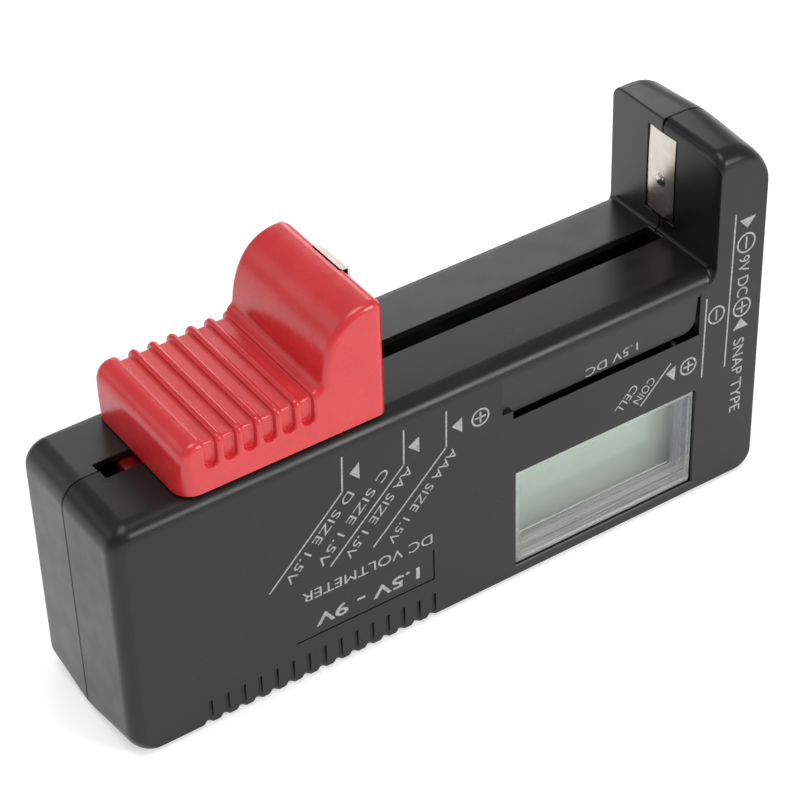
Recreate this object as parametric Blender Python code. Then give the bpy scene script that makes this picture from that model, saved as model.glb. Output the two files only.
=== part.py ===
"""Battery tester: two shells, a sliding battery clamp, a display and the electronics inside.

It stands on its long bottom edge. X runs along it, with the fixed contact post at +X,
-Y is the face with the display, and Z is up. The origin is the bottom centre.
Lengths below are in millimetres; MM turns them into metres.
"""

import math

import bmesh
import bpy

MM = 0.001

# Outside
LENGTH = 110.0
DEPTH = 25.0
HEIGHT = 60.0
RAIL_TOP = 40.7
POST_LEFT = 45.4
WALL = 2.0
SEAM_Y = 0.85
GAP = 0.3
CORNER_RADIUS = 3.6
POST_CORNER_RADIUS = 5.5
POST_EDGE_RADIUS = 0.8
EDGE_RADIUS = 1.5
ARC_STEPS = 5
FRONT = -DEPTH / 2
REAR = DEPTH / 2
INSIDE_FRONT = FRONT + WALL
INSIDE_REAR = REAR - WALL
RAIL_WALL = 1.2
RAIL_UNDERSIDE = RAIL_TOP - RAIL_WALL

# Slot that the slider runs in
SLOT_LEFT = -49.1
SLOT_RIGHT = 44.7
SLOT_WIDTH = 3.4

# Slider
SLIDER_LEFT = -43.5
SLIDER_RIGHT = -11.0
SLIDER_FRONT = -11.7
SLIDER_REAR = 12.3
SLIDER_TOP = 59.9
GRIP_FLOOR = 48.4
GRIP_RIDGE = 48.8
SHOULDER_TOP = 49.2
FIRST_GROOVE = -38.5
GROOVE_PITCH = 3.0
GROOVE_WIDTH = 2.0
GROOVE_COUNT = 6
SCOOP_CENTRE_Z = 45.6
SCOOP_DEPTH = 0.9
BLOCK_LEFT = -20.7
BLOCK_RISE = 51.5
BLOCK_SHOULDER = -12.8
SLIDER_WALL = 2.0
KEEL_LEFT = -42.4
KEEL_RIGHT = -15.0
KEEL_WIDTH = 2.8
KEEPER_LEFT = -45.3
KEEPER_WIDTH = 8.4
KEEPER_THICKNESS = 2.3
KEEPER_SCREWS_X = (-36.0, -21.0)

# Metal contacts
SHEET = 0.4
PLATE_WIDTH = 6.4
PLATE_BOTTOM = 43.3
PLATE_TOP = 57.5
PLATE_FACE = 45.5
DIMPLE_Z = 49.6
TAB_WIDTH = 3.0
NINE_VOLT_Z = {"negative": 44.2, "positive": 31.5}
NINE_VOLT_WIDTH = 7.0
NINE_VOLT_HEIGHT = 8.0
NINE_VOLT_FACE = LENGTH / 2 - 0.1
TAB_Z = 43.0
TAIL_X = -13.4
TAIL_WIDTH = 2.4
TAIL_BOTTOM = 33.6
CONTACT_RAIL_Y = 5.5

# Display
WINDOW = (9.8, 42.8, 2.4, 20.1)
BOARD = (5.5, 45.2, 3.0, 28.6)
BOARD_FRONT = -5.8
BOARD_THICKNESS = 1.6
BOARD_REAR = BOARD_FRONT + BOARD_THICKNESS
BOARD_SCREWS = ((8.3, 25.6), (42.4, 25.6))

# Button-cell well
WELL_LEFT = 7.45
WELL_SLOT_LEFT = 9.3
WELL_RAMP_RIGHT = 42.2
WELL_RIGHT = 42.8
WELL_TOP = 38.0
WELL_BOTTOM = 30.5
SIGHT_SLOPE = 0.94

# Case screws and the grip on the front shell's lower edge
CASE_SCREWS = ((-48.5, 7.0), (-48.5, 29.0), (49.0, 7.0), (50.2, 53.0))
BOSS_RADIUS = 2.6
NOTCH_FIRST = -42.2
NOTCH_PITCH = 2.66
NOTCH_COUNT = 15
NOTCH_WIDTH = 0.8
NOTCH_HEIGHT = 5.1


def material(name, colour, roughness, metallic=0.0, alpha=1.0):
    """One Principled material, made once and then found by name."""
    found = bpy.data.materials.get(name)
    if found:
        return found
    made = bpy.data.materials.new(name)
    made.use_nodes = True
    shader = made.node_tree.nodes["Principled BSDF"]
    shader.inputs["Base Color"].default_value = (*colour, 1.0)
    shader.inputs["Roughness"].default_value = roughness
    shader.inputs["Metallic"].default_value = metallic
    shader.inputs["Alpha"].default_value = alpha
    return made


def black_plastic():
    return material("black_plastic", (0.035, 0.034, 0.035), 0.4)


def red_plastic():
    return material("red_plastic", (0.62, 0.02, 0.03), 0.28)


def nickel():
    return material("nickel", (0.66, 0.62, 0.56), 0.25, 1.0)


def bronze():
    return material("spring_bronze", (0.72, 0.45, 0.22), 0.3, 1.0)


def steel():
    return material("screw_steel", (0.45, 0.45, 0.46), 0.35, 1.0)


def to_object(name, mesh_builder, finish):
    """Turns a bmesh in millimetres into an object with outward faces, in metres."""
    bmesh.ops.recalc_face_normals(mesh_builder, faces=mesh_builder.faces)
    bmesh.ops.scale(mesh_builder, vec=(MM, MM, MM), verts=mesh_builder.verts)
    mesh = bpy.data.meshes.new(name)
    mesh_builder.to_mesh(mesh)
    mesh_builder.free()
    made = bpy.data.objects.new(name, mesh)
    bpy.context.scene.collection.objects.link(made)
    if finish:
        mesh.materials.append(finish)
        mesh.shade_smooth()
        mesh.set_sharp_from_angle(angle=math.radians(35))
    return made


def add_rings(builder, rings):
    """Joins rings of points with equal counts into one closed body with flat ends."""
    layers = [[builder.verts.new(point) for point in ring] for ring in rings]
    count = len(layers[0])
    for near, far in zip(layers, layers[1:]):
        for i in range(count):
            j = (i + 1) % count
            builder.faces.new((near[i], near[j], far[j], far[i]))
    builder.faces.new(layers[0])
    builder.faces.new(layers[-1])


def add_box(builder, low, high):
    (x0, y0, z0), (x1, y1, z1) = low, high
    square = ((x0, y0), (x1, y0), (x1, y1), (x0, y1))
    add_rings(builder, [[(x, y, z) for x, y in square] for z in (z0, z1)])


def place(axis, along, first, second):
    """A point from its distance along an axis and its other two coordinates, in X, Y, Z order."""
    point = [first, second]
    point.insert("xyz".index(axis), along)
    return tuple(point)


def add_prism(builder, outline, axis, start, end):
    """Extrudes an outline, given in the other two axes in X, Y, Z order, along axis."""
    add_rings(builder, [[place(axis, along, *p) for p in outline] for along in (start, end)])


def circle(centre, radius, steps):
    return [
        (
            centre[0] + radius * math.cos(2 * math.pi * i / steps),
            centre[1] + radius * math.sin(2 * math.pi * i / steps),
        )
        for i in range(steps)
    ]


def add_turned(builder, centre, axis, profile, steps=16):
    """A round body on a line along axis: profile lists (distance along axis, radius)."""
    rings = [[place(axis, along, *p) for p in circle(centre, radius, steps)] for along, radius in profile]
    add_rings(builder, rings)


def add_tube(builder, centre, axis, start, end, radius, steps=16):
    add_turned(builder, centre, axis, [(start, radius), (end, radius)], steps)


def single(name, finish, add, *arguments):
    """An object made by one of the add functions."""
    builder = bmesh.new()
    add(builder, *arguments)
    return to_object(name, builder, finish)


def boxes(name, finish, *corners):
    builder = bmesh.new()
    for low, high in corners:
        add_box(builder, low, high)
    return to_object(name, builder, finish)


def combine(target, helper, operation):
    """Joins or cuts target with a helper that isn't rendered."""
    helper.hide_render = True
    helper.display_type = "WIRE"
    change = target.modifiers.new(helper.name, "BOOLEAN")
    change.operation = operation
    change.solver = "EXACT"
    change.object = helper
    return target


def cut(target, helper):
    return combine(target, helper, "DIFFERENCE")


def join(target, helper):
    return combine(target, helper, "UNION")


def arc(centre, radius, first, last, steps=ARC_STEPS):
    """Points on an arc in a plane, from one angle to another in degrees."""
    points = []
    for i in range(steps + 1):
        angle = math.radians(first + (last - first) * i / steps)
        points.append((centre[0] + radius * math.cos(angle), centre[1] + radius * math.sin(angle)))
    return points


def shell_outline(inset):
    """The L-shaped outline of both shells in X and Z, moved inwards by inset."""
    left, right = -LENGTH / 2 + inset, LENGTH / 2 - inset
    bottom, rail, top = inset, RAIL_TOP - inset, HEIGHT - inset
    post = POST_LEFT + inset
    corner = max(CORNER_RADIUS - inset, 0.2)
    post_corner = max(POST_CORNER_RADIUS - inset, 0.2)
    post_edge = max(POST_EDGE_RADIUS - inset, 0.2)
    foot = 0.2 + inset
    return (
        arc((left + corner, bottom + corner), corner, 180, 270)
        + arc((right - corner, bottom + corner), corner, 270, 360)
        + arc((right - post_corner, top - post_corner), post_corner, 0, 90)
        + arc((post + post_edge, top - post_edge), post_edge, 90, 180)
        + arc((post - foot, rail + foot), foot, 360, 270)
        + arc((left + corner, rail - corner), corner, 90, 180)
    )


def shell_half(name, outside, seam):
    """Half of the case: a rounded outer edge at outside, cut square at the seam."""
    inwards = 1 if seam > outside else -1
    rings = []
    for i in range(5):
        angle = math.radians(90 * i / 4)
        inset = EDGE_RADIUS * (1 - math.sin(angle))
        y = outside + inwards * EDGE_RADIUS * (1 - math.cos(angle))
        rings.append([(x, y, z) for x, z in shell_outline(inset)])
    rings.append([(x, seam, z) for x, z in shell_outline(0)])
    half = single(name, black_plastic(), add_rings, rings)
    hollow = [
        [(x, y, z) for x, z in shell_outline(WALL)] for y in (outside + inwards * WALL, seam + inwards)
    ]
    return cut(half, single(name + "_hollow", None, add_rings, hollow))


def keeper_channel(prefix):
    """The shallow channel under the rail's top wall that the slider's keeper runs in."""
    half = KEEPER_WIDTH / 2 + 0.6
    low = RAIL_TOP - WALL - 1
    return boxes(
        prefix + "_keeper_channel",
        None,
        ((-LENGTH / 2 + WALL, SEAM_Y - half, low), (SLOT_RIGHT, SEAM_Y + half, RAIL_UNDERSIDE)),
    )


def seam_cutters(prefix):
    """What both shells make room for along the seam: the slot, the keeper and the metal contacts."""
    slot = boxes(
        prefix + "_slot",
        None,
        (
            (SLOT_LEFT, SEAM_Y - SLOT_WIDTH / 2, RAIL_UNDERSIDE - 1),
            (SLOT_RIGHT, SEAM_Y + SLOT_WIDTH / 2, RAIL_TOP + 1),
        ),
    )
    half = PLATE_WIDTH / 2
    plate_bed = boxes(
        prefix + "_plate_bed",
        None,
        (
            (POST_LEFT - 1, SEAM_Y - half - 0.7, PLATE_BOTTOM - GAP),
            (PLATE_FACE + SHEET + GAP, SEAM_Y + half + GAP, PLATE_TOP + GAP),
        ),
    )
    tab = TAB_WIDTH / 2 + GAP
    slits = [
        (
            (POST_LEFT, SEAM_Y - tab, PLATE_BOTTOM - GAP),
            (POST_LEFT + WALL + 1, SEAM_Y + tab, PLATE_BOTTOM + SHEET + GAP),
        )
    ]
    beds = []
    for z in NINE_VOLT_Z.values():
        low = z - NINE_VOLT_HEIGHT / 2
        beds.append(
            (
                (NINE_VOLT_FACE - SHEET - GAP, SEAM_Y - NINE_VOLT_WIDTH / 2 - GAP, low - GAP),
                (LENGTH / 2 + 1, SEAM_Y + NINE_VOLT_WIDTH / 2 + GAP, low + NINE_VOLT_HEIGHT + GAP),
            )
        )
        slits.append(
            ((LENGTH / 2 - WALL - 1, SEAM_Y - tab, low - GAP), (LENGTH / 2, SEAM_Y + tab, low + SHEET + GAP))
        )
    nine_volt_beds = boxes(prefix + "_nine_volt_beds", None, *beds)
    return slot, keeper_channel(prefix), plate_bed, nine_volt_beds, boxes(prefix + "_slits", None, *slits)


def well_cutters():
    """The button-cell well: a ramp, the channel under its lower edge and the slit at its end."""
    ramp = [
        (FRONT - 1, WELL_TOP),
        (FRONT, WELL_TOP),
        (FRONT + 1.3, WELL_BOTTOM + 0.2),
        (FRONT - 1, WELL_BOTTOM + 0.2),
    ]
    depth = 3.5
    channel = [
        (FRONT - 1, WELL_BOTTOM + SIGHT_SLOPE),
        (FRONT - 1, WELL_BOTTOM + 1.4 + SIGHT_SLOPE),
        (FRONT + depth, WELL_BOTTOM + 1.4 - SIGHT_SLOPE * depth),
        (FRONT + depth, WELL_BOTTOM - SIGHT_SLOPE * depth),
    ]
    pocket = single("well_ramp_cut", None, add_prism, ramp, "x", WELL_LEFT, WELL_RAMP_RIGHT)
    slot = single("well_channel_cut", None, add_prism, channel, "x", WELL_SLOT_LEFT, WELL_RAMP_RIGHT + 0.1)
    slit = boxes(
        "well_slit_cut",
        None,
        ((WELL_RAMP_RIGHT, FRONT - 1, WELL_BOTTOM), (WELL_RIGHT, FRONT + 4, WELL_TOP - 0.5)),
    )
    return pocket, slot, slit


def front_shell():
    shell = shell_half("front_shell", FRONT, SEAM_Y - GAP / 2)
    backing = boxes(
        "well_backing",
        None,
        (
            (WELL_LEFT - 1.5, INSIDE_FRONT - 0.5, WELL_BOTTOM + 0.8),
            (WELL_RIGHT + 1.2, FRONT + 2.8, RAIL_TOP - WALL + 0.5),
        ),
    )
    join(shell, backing)
    posts = bmesh.new()
    for place_xz in CASE_SCREWS:
        add_tube(posts, place_xz, "y", INSIDE_FRONT - 0.5, SEAM_Y - GAP / 2, BOSS_RADIUS)
    for place_xz in BOARD_SCREWS:
        add_tube(posts, place_xz, "y", INSIDE_FRONT - 0.5, BOARD_FRONT - GAP, 1.9)
    join(shell, to_object("front_shell_bosses", posts, None))
    holes = bmesh.new()
    for place_xz in CASE_SCREWS:
        add_tube(holes, place_xz, "y", -4.0, SEAM_Y + 1, 1.5)
    for place_xz in BOARD_SCREWS:
        add_tube(holes, place_xz, "y", -9.6, BOARD_FRONT, 1.1)
    cut(shell, to_object("front_shell_pilot_holes", holes, None))
    x0, x1, z0, z1 = WINDOW
    cut(shell, boxes("window_cut", None, ((x0, FRONT - 1, z0), (x1, INSIDE_FRONT + 1, z1))))
    for cutter in seam_cutters("front") + well_cutters():
        cut(shell, cutter)
    notches = bmesh.new()
    for i in range(NOTCH_COUNT):
        x = NOTCH_FIRST + i * NOTCH_PITCH
        wedge = [
            (FRONT - 1, -1),
            (FRONT + 2.0, -1),
            (FRONT + 2.0, 0.45),
            (FRONT + 0.5, 1.2),
            (FRONT + 0.35, NOTCH_HEIGHT),
            (FRONT - 1, NOTCH_HEIGHT + 0.6),
        ]
        add_prism(notches, wedge, "x", x - NOTCH_WIDTH / 2, x + NOTCH_WIDTH / 2)
    cut(shell, to_object("grip_notches", notches, None))
    return shell


def rear_shell():
    shell = shell_half("rear_shell", REAR, SEAM_Y + GAP / 2)
    posts = bmesh.new()
    for place_xz in CASE_SCREWS:
        add_tube(posts, place_xz, "y", SEAM_Y + GAP / 2, INSIDE_REAR + 0.5, BOSS_RADIUS)
    for x in (-18.0, 10.0, 38.0):
        low = (x - 0.7, CONTACT_RAIL_Y + SHEET + GAP, 31.0)
        add_box(posts, low, (x + 0.7, INSIDE_REAR + 0.5, RAIL_TOP - WALL + 0.5))
    join(shell, to_object("rear_shell_bosses", posts, None))
    holes = bmesh.new()
    for place_xz in CASE_SCREWS:
        profile = [(SEAM_Y - 1, 1.5), (REAR - 1.9, 1.5), (REAR - 0.35, 2.8), (REAR + 1, 2.8)]
        add_turned(holes, place_xz, "y", profile)
    cut(shell, to_object("rear_shell_screw_holes", holes, None))
    for cutter in seam_cutters("rear"):
        cut(shell, cutter)
    return shell


def cross_recess(name, centre, axis, start, end, arm, width):
    """A cutter for the cross slot in a screw's head."""
    builder = bmesh.new()
    half = width / 2
    outline = []
    for quarter in range(4):
        turn = math.radians(90 * quarter)
        for a, b in ((half, half), (half, arm), (-half, arm)):
            across = a * math.cos(turn) - b * math.sin(turn)
            upward = a * math.sin(turn) + b * math.cos(turn)
            outline.append((across, upward))
    add_prism(builder, [(centre[0] + a, centre[1] + b) for a, b in outline], axis, start, end)
    return to_object(name, builder, None)


def screw(name, centre, axis, profile, recess):
    """A screw with a turned profile and a cross recess from recess[0] to recess[1]."""
    made = single(name, steel(), add_turned, centre, axis, profile)
    arm = 0.62 * max(radius for _, radius in profile)
    return cut(made, cross_recess(name + "_recess", centre, axis, *recess, arm, 0.28 * arm + 0.25))


def screws():
    made = []
    for number, centre in enumerate(CASE_SCREWS, 1):
        head = REAR - 0.4
        profile = [(-3.5, 0.5), (-2.7, 1.2), (head - 1.5, 1.2), (head - 0.3, 2.4), (head, 2.4)]
        made.append(screw(f"case_screw_{number}", centre, "y", profile, (head - 0.9, head + 1)))
    for number, centre in enumerate(BOARD_SCREWS, 1):
        head = BOARD_REAR + GAP
        profile = [(-9.2, 0.3), (-8.8, 0.8), (head, 0.8), (head, 1.7), (head + 0.9, 1.5)]
        made.append(screw(f"board_screw_{number}", centre, "y", profile, (head + 0.4, head + 2)))
    return made


def slider_profile():
    """The slider's side view in X and Z: a low grip step, then the block that holds the contact."""
    bottom = RAIL_TOP + GAP
    width, height = BLOCK_SHOULDER - BLOCK_LEFT, SLIDER_TOP - BLOCK_RISE
    crown = [
        (BLOCK_SHOULDER - width * math.cos(math.radians(a)), BLOCK_RISE + height * math.sin(math.radians(a)))
        for a in range(0, 91, 10)
    ]
    return (
        [(SLIDER_RIGHT, bottom), (SLIDER_RIGHT, SLIDER_TOP)]
        + crown[::-1]
        + arc((BLOCK_LEFT - 1.5, GRIP_RIDGE + 1.3), 1.3, 0, -90, 3)
        + arc((SLIDER_LEFT + 2.6, SHOULDER_TOP - 2.0), 2.0, 90, 180, 4)
        + [(SLIDER_LEFT, bottom)]
    )


def slider():
    body = single("slider", red_plastic(), add_prism, slider_profile(), "y", SLIDER_FRONT, SLIDER_REAR)
    rounding = body.modifiers.new("rounded_sides", "BEVEL")
    rounding.width = 0.9 * MM
    rounding.segments = 3
    rounding.limit_method = "ANGLE"
    rounding.angle_limit = math.radians(40)
    grooves = bmesh.new()
    for i in range(GROOVE_COUNT):
        x = FIRST_GROOVE + i * GROOVE_PITCH
        low, high = x - GROOVE_WIDTH / 2, x + GROOVE_WIDTH / 2
        top = SHOULDER_TOP + 2
        add_box(grooves, (low, SLIDER_FRONT - 1, GRIP_FLOOR), (high, SLIDER_REAR + 1, top))
    cut(body, to_object("slider_grooves", grooves, None))
    for side, face in ((-1, SLIDER_FRONT), (1, SLIDER_REAR)):
        scoops = bmesh.new()
        for i in range(GROOVE_COUNT):
            x = FIRST_GROOVE + i * GROOVE_PITCH
            radius = GROOVE_WIDTH / 2
            top = GRIP_FLOOR + 1
            scoop = arc((x, SCOOP_CENTRE_Z), radius, 180, 360) + [(x + radius, top), (x - radius, top)]
            add_prism(scoops, scoop, "y", face - side * SCOOP_DEPTH, face + side)
        cut(body, to_object(f"slider_scoops_{side}", scoops, None))
    inner = (SLIDER_FRONT + SLIDER_WALL, SLIDER_REAR - SLIDER_WALL)
    bottom = RAIL_TOP - 1
    hollow = [
        (SLIDER_RIGHT - SLIDER_WALL, bottom),
        (SLIDER_RIGHT - SLIDER_WALL, SLIDER_TOP - SLIDER_WALL - 0.6),
        (BLOCK_LEFT + SLIDER_WALL + 3, SLIDER_TOP - SLIDER_WALL - 0.6),
        (BLOCK_LEFT + SLIDER_WALL + 0.4, BLOCK_RISE + 2),
        (BLOCK_LEFT + SLIDER_WALL, GRIP_FLOOR - SLIDER_WALL),
        (SLIDER_LEFT + SLIDER_WALL, GRIP_FLOOR - SLIDER_WALL),
        (SLIDER_LEFT + SLIDER_WALL, bottom),
    ]
    cut(body, single("slider_hollow", None, add_prism, hollow, "y", *inner))
    keel = boxes(
        "slider_keel",
        None,
        (
            (KEEL_LEFT, SEAM_Y - KEEL_WIDTH / 2, RAIL_UNDERSIDE),
            (KEEL_RIGHT, SEAM_Y + KEEL_WIDTH / 2, GRIP_FLOOR - 1),
        ),
    )
    join(body, keel)
    strip = PLATE_WIDTH / 2 + GAP
    strip_bed = boxes(
        "slider_strip_bed",
        None,
        (
            (SLIDER_RIGHT - 1.2, SEAM_Y - strip, SLIDER_TOP - 0.85),
            (SLIDER_RIGHT + 1, SEAM_Y + strip, SLIDER_TOP + 1),
        ),
    )
    cut(body, strip_bed)
    tab = TAB_WIDTH / 2 + GAP
    slit = boxes(
        "slider_slit",
        None,
        (
            (SLIDER_RIGHT - SLIDER_WALL - 1, SEAM_Y - tab, TAB_Z - GAP),
            (SLIDER_RIGHT + 1, SEAM_Y + tab, TAB_Z + SHEET + GAP),
        ),
    )
    cut(body, slit)
    holes = bmesh.new()
    for x in KEEPER_SCREWS_X:
        add_tube(holes, (x, SEAM_Y), "z", RAIL_UNDERSIDE - 1, RAIL_UNDERSIDE + 5, 0.9, 12)
    cut(body, to_object("slider_keel_holes", holes, None))
    return body


def slider_keeper():
    """The foot under the rail's top wall that holds the slider down, with its two screws."""
    top = RAIL_UNDERSIDE - GAP
    low = top - KEEPER_THICKNESS
    half = KEEPER_WIDTH / 2
    keeper = boxes(
        "slider_keeper", red_plastic(), ((KEEPER_LEFT, SEAM_Y - half, low), (KEEL_RIGHT, SEAM_Y + half, top))
    )
    rounding = keeper.modifiers.new("rounded_edges", "BEVEL")
    rounding.width = 0.4 * MM
    rounding.segments = 2
    holes = bmesh.new()
    made = [keeper]
    for number, x in enumerate(KEEPER_SCREWS_X, 1):
        add_tube(holes, (x, SEAM_Y), "z", low - 1, top + 1, 1.0, 12)
        seat = low - GAP
        profile = [(seat - 0.8, 1.3), (seat, 1.6), (seat, 0.8), (top + 4.4, 0.8), (top + 4.9, 0.3)]
        made.append(screw(f"keeper_screw_{number}", (x, SEAM_Y), "z", profile, (seat - 2, seat - 0.5)))
    cut(keeper, to_object("keeper_holes", holes, None))
    return made


def slider_contacts():
    """The strip bent over the block's top edge, its tail through the slot, and the wiper on the tail."""
    half = PLATE_WIDTH / 2
    face = SLIDER_RIGHT + GAP + SHEET
    top = SLIDER_TOP - 0.1
    strip_outline = (
        [(face - 1.6, top - SHEET), (face - 1.6, top)]
        + arc((face - 0.6, top - 0.6), 0.6, 90, 0, 4)
        + [(face, TAB_Z), (face - SHEET, TAB_Z)]
        + arc((face - 0.6, top - 0.6), 0.6 - SHEET, 0, 90, 4)
    )
    strip = single("slider_contact", nickel(), add_prism, strip_outline, "y", SEAM_Y - half, SEAM_Y + half)
    tail_outline = [
        (face - 0.05, TAB_Z),
        (face - 0.05, TAB_Z + SHEET),
        (TAIL_X - SHEET / 2, TAB_Z + SHEET),
        (TAIL_X - SHEET / 2, TAIL_BOTTOM),
        (TAIL_X + SHEET / 2, TAIL_BOTTOM),
        (TAIL_X + SHEET / 2, TAB_Z),
    ]
    half = TAIL_WIDTH / 2
    tail = single("slider_contact_tail", None, add_prism, tail_outline, "y", SEAM_Y - half, SEAM_Y + half)
    join(strip, tail)
    left = TAIL_X - SHEET / 2 - GAP - SHEET
    wiper_outline = [
        (SEAM_Y - 1.0, 34.0),
        (SEAM_Y + 1.4, 34.0),
        (CONTACT_RAIL_Y - 1.0, 34.4),
        (CONTACT_RAIL_Y - GAP, 35.2),
        (CONTACT_RAIL_Y - 1.0, 36.0),
        (SEAM_Y + 1.4, 35.8),
        (SEAM_Y - 1.0, 35.8),
    ]
    wiper = single("slider_wiper", bronze(), add_prism, wiper_outline, "x", left, left + SHEET)
    return [strip, wiper]


def dimple(name, x, y, z):
    """A low pressed dome facing -X, to be joined to a contact plate."""
    builder = bmesh.new()
    profile = [(x + 0.2, 1.0), (x, 1.0), (x - 0.25, 0.8), (x - 0.4, 0.4)]
    add_turned(builder, (y, z), "x", profile, 12)
    return to_object(name, builder, None)


def post_contact():
    half, tab = PLATE_WIDTH / 2, TAB_WIDTH / 2
    plate = boxes(
        "post_contact",
        nickel(),
        ((PLATE_FACE, SEAM_Y - half, PLATE_BOTTOM), (PLATE_FACE + SHEET, SEAM_Y + half, PLATE_TOP)),
    )
    inner = boxes(
        "post_contact_tab",
        None,
        (
            (PLATE_FACE + 0.1, SEAM_Y - tab, PLATE_BOTTOM),
            (PLATE_FACE + 5.5, SEAM_Y + tab, PLATE_BOTTOM + SHEET),
        ),
    )
    join(plate, inner)
    return join(plate, dimple("post_contact_dimple", PLATE_FACE, SEAM_Y, DIMPLE_Z))


def nine_volt_contacts():
    made = []
    for pole, z in NINE_VOLT_Z.items():
        low = z - NINE_VOLT_HEIGHT / 2
        half, tab = NINE_VOLT_WIDTH / 2, TAB_WIDTH / 2
        name = f"nine_volt_contact_{pole}"
        plate = boxes(
            name,
            nickel(),
            (
                (NINE_VOLT_FACE - SHEET, SEAM_Y - half, low),
                (NINE_VOLT_FACE, SEAM_Y + half, low + NINE_VOLT_HEIGHT),
            ),
        )
        inner = boxes(
            name + "_tab",
            None,
            ((NINE_VOLT_FACE - 5.2, SEAM_Y - tab, low), (NINE_VOLT_FACE - 0.1, SEAM_Y + tab, low + SHEET)),
        )
        made.append(join(plate, inner))
    return made


def inner_contacts():
    """The long strip the wiper rubs on, and the two contacts inside the button-cell well."""
    rail = boxes(
        "contact_rail", nickel(), ((-24.0, CONTACT_RAIL_Y, 33.2), (44.5, CONTACT_RAIL_Y + SHEET, 37.6))
    )
    positive = boxes(
        "mini_cell_contact_positive",
        nickel(),
        ((12.0, FRONT + 2.9, 26.6), (40.0, FRONT + 2.9 + SHEET, 30.4)),
    )
    middle = (WELL_RAMP_RIGHT + WELL_RIGHT) / 2
    negative = boxes(
        "mini_cell_contact_negative",
        nickel(),
        ((middle - 0.15, FRONT + 1.2, 31.6), (middle + 0.15, FRONT + 6.0, 36.4)),
    )
    return [rail, positive, negative]


def display_parts():
    x0, x1, z0, z1 = WINDOW
    clear = material("clear_acrylic", (0.86, 0.88, 0.86), 0.08, 0.0, 0.35)
    window = boxes(
        "display_window",
        clear,
        ((x0 + GAP, FRONT + 0.25, z0 + GAP), (x1 - GAP, INSIDE_FRONT + 0.7, z1 - GAP)),
    )
    flange = boxes(
        "display_window_flange",
        None,
        ((x0 - 0.9, INSIDE_FRONT + GAP, 2.3), (x1 + 0.9, INSIDE_FRONT + 1.1, z1 + 0.9)),
    )
    join(window, flange)
    glass = material("display_glass", (0.42, 0.5, 0.45), 0.2)
    panel = boxes("lcd_panel", glass, ((x0 - 0.1, -9.1, 3.1), (x1 + 0.1, -7.5, z1 + 0.4)))
    grey = material("display_backing", (0.6, 0.64, 0.6), 0.5)
    reflector = boxes("lcd_reflector", grey, ((x0 - 0.1, -7.2, 3.1), (x1 + 0.1, -6.9, z1 - 2.3)))
    white = material("white_plastic", (0.7, 0.7, 0.68), 0.5)
    frame = boxes("lcd_frame", white, ((x0 - 1.2, -9.1, 2.3), (x1 + 1.2, -6.2, z1 + 1.5)))
    opening = boxes("lcd_frame_opening", None, ((x0 - 0.4, -10, 2.8), (x1 + 0.4, -5, z1 + 0.7)))
    cut(frame, opening)
    rubber = material("zebra_rubber", (0.12, 0.12, 0.13), 0.7)
    zebra = boxes("zebra_strip", rubber, ((x0 + 1.4, -7.2, z1 - 1.9), (x1 - 1.4, -6.1, z1)))
    return [window, panel, reflector, frame, zebra]


def main_board():
    x0, x1, z0, z1 = BOARD
    green = material("circuit_board", (0.03, 0.16, 0.06), 0.45)
    board = boxes("main_board", green, ((x0, BOARD_FRONT, z0), (x1, BOARD_REAR, z1)))
    holes = bmesh.new()
    for centre in BOARD_SCREWS:
        add_tube(holes, centre, "y", BOARD_FRONT - 1, BOARD_REAR + 1, 1.1)
    return cut(board, to_object("board_holes", holes, None))


def board_components():
    """Parts soldered to the board's rear side, each just clear of it."""
    foot = BOARD_REAR + GAP
    dark = material("epoxy", (0.02, 0.02, 0.022), 0.35)
    dome = [(foot, 4.6), (foot + 0.7, 4.0), (foot + 1.2, 2.6), (foot + 1.4, 0.9)]
    chip = single("chip_blob", dark, add_turned, (20.0, 13.5), "y", dome)
    ferrite = material("ferrite", (0.06, 0.06, 0.065), 0.6)
    flange = [(foot, 3.0), (foot + 0.8, 3.0), (foot + 1.0, 2.4)]
    coil = flange + [(foot + 3.4, 2.4), (foot + 3.6, 3.0), (foot + 4.4, 3.0)]
    inductor = single("inductor", ferrite, add_turned, (31.5, 22.8), "y", coil)
    sleeve = material("capacitor_sleeve", (0.03, 0.06, 0.2), 0.4)
    can = [(foot, 2.4), (foot + 0.5, 2.5), (foot + 6.0, 2.5), (foot + 6.4, 2.3)]
    capacitor = single("capacitor", sleeve, add_turned, (23.5, 22.8), "y", can)
    made = [chip, inductor, capacitor]
    beige = material("resistor_body", (0.55, 0.42, 0.25), 0.5)
    glassy = material("diode_body", (0.05, 0.05, 0.05), 0.3)
    placed = {
        "load_resistor_1v5": (beige, 14.5, 24.0, 3.2, 1.25),
        "load_resistor_9v": (beige, 34.0, 8.0, 3.2, 1.25),
        "series_resistor": (beige, 34.0, 13.0, 2.6, 0.95),
        "diode": (glassy, 11.0, 7.0, 2.4, 1.0),
    }
    for name, (finish, x, z, half, radius) in placed.items():
        y = foot + radius + 0.5
        waist = 0.82 * radius
        cap = [(-half, waist), (-half + 0.5, radius), (-half + 1.2, radius), (-half + 1.6, waist)]
        profile = [(x + along, r) for along, r in cap] + [(x - along, r) for along, r in reversed(cap)]
        body = single(name, finish, add_turned, (y, z), "x", profile, 12)
        leads = boxes(
            name + "_leads",
            None,
            ((x - half - 1.2, y - 0.3, z - 0.3), (x + half + 1.2, y + 0.3, z + 0.3)),
        )
        join(body, leads)
        for side in (-1, 1):
            end = x + side * (half + 1.0)
            low, high = (end - 0.3, foot, z - 0.28), (end + 0.3, y + 0.2, z + 0.28)
            join(body, boxes(f"{name}_leg_{side}", None, (low, high)))
        made.append(body)
    return made


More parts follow.
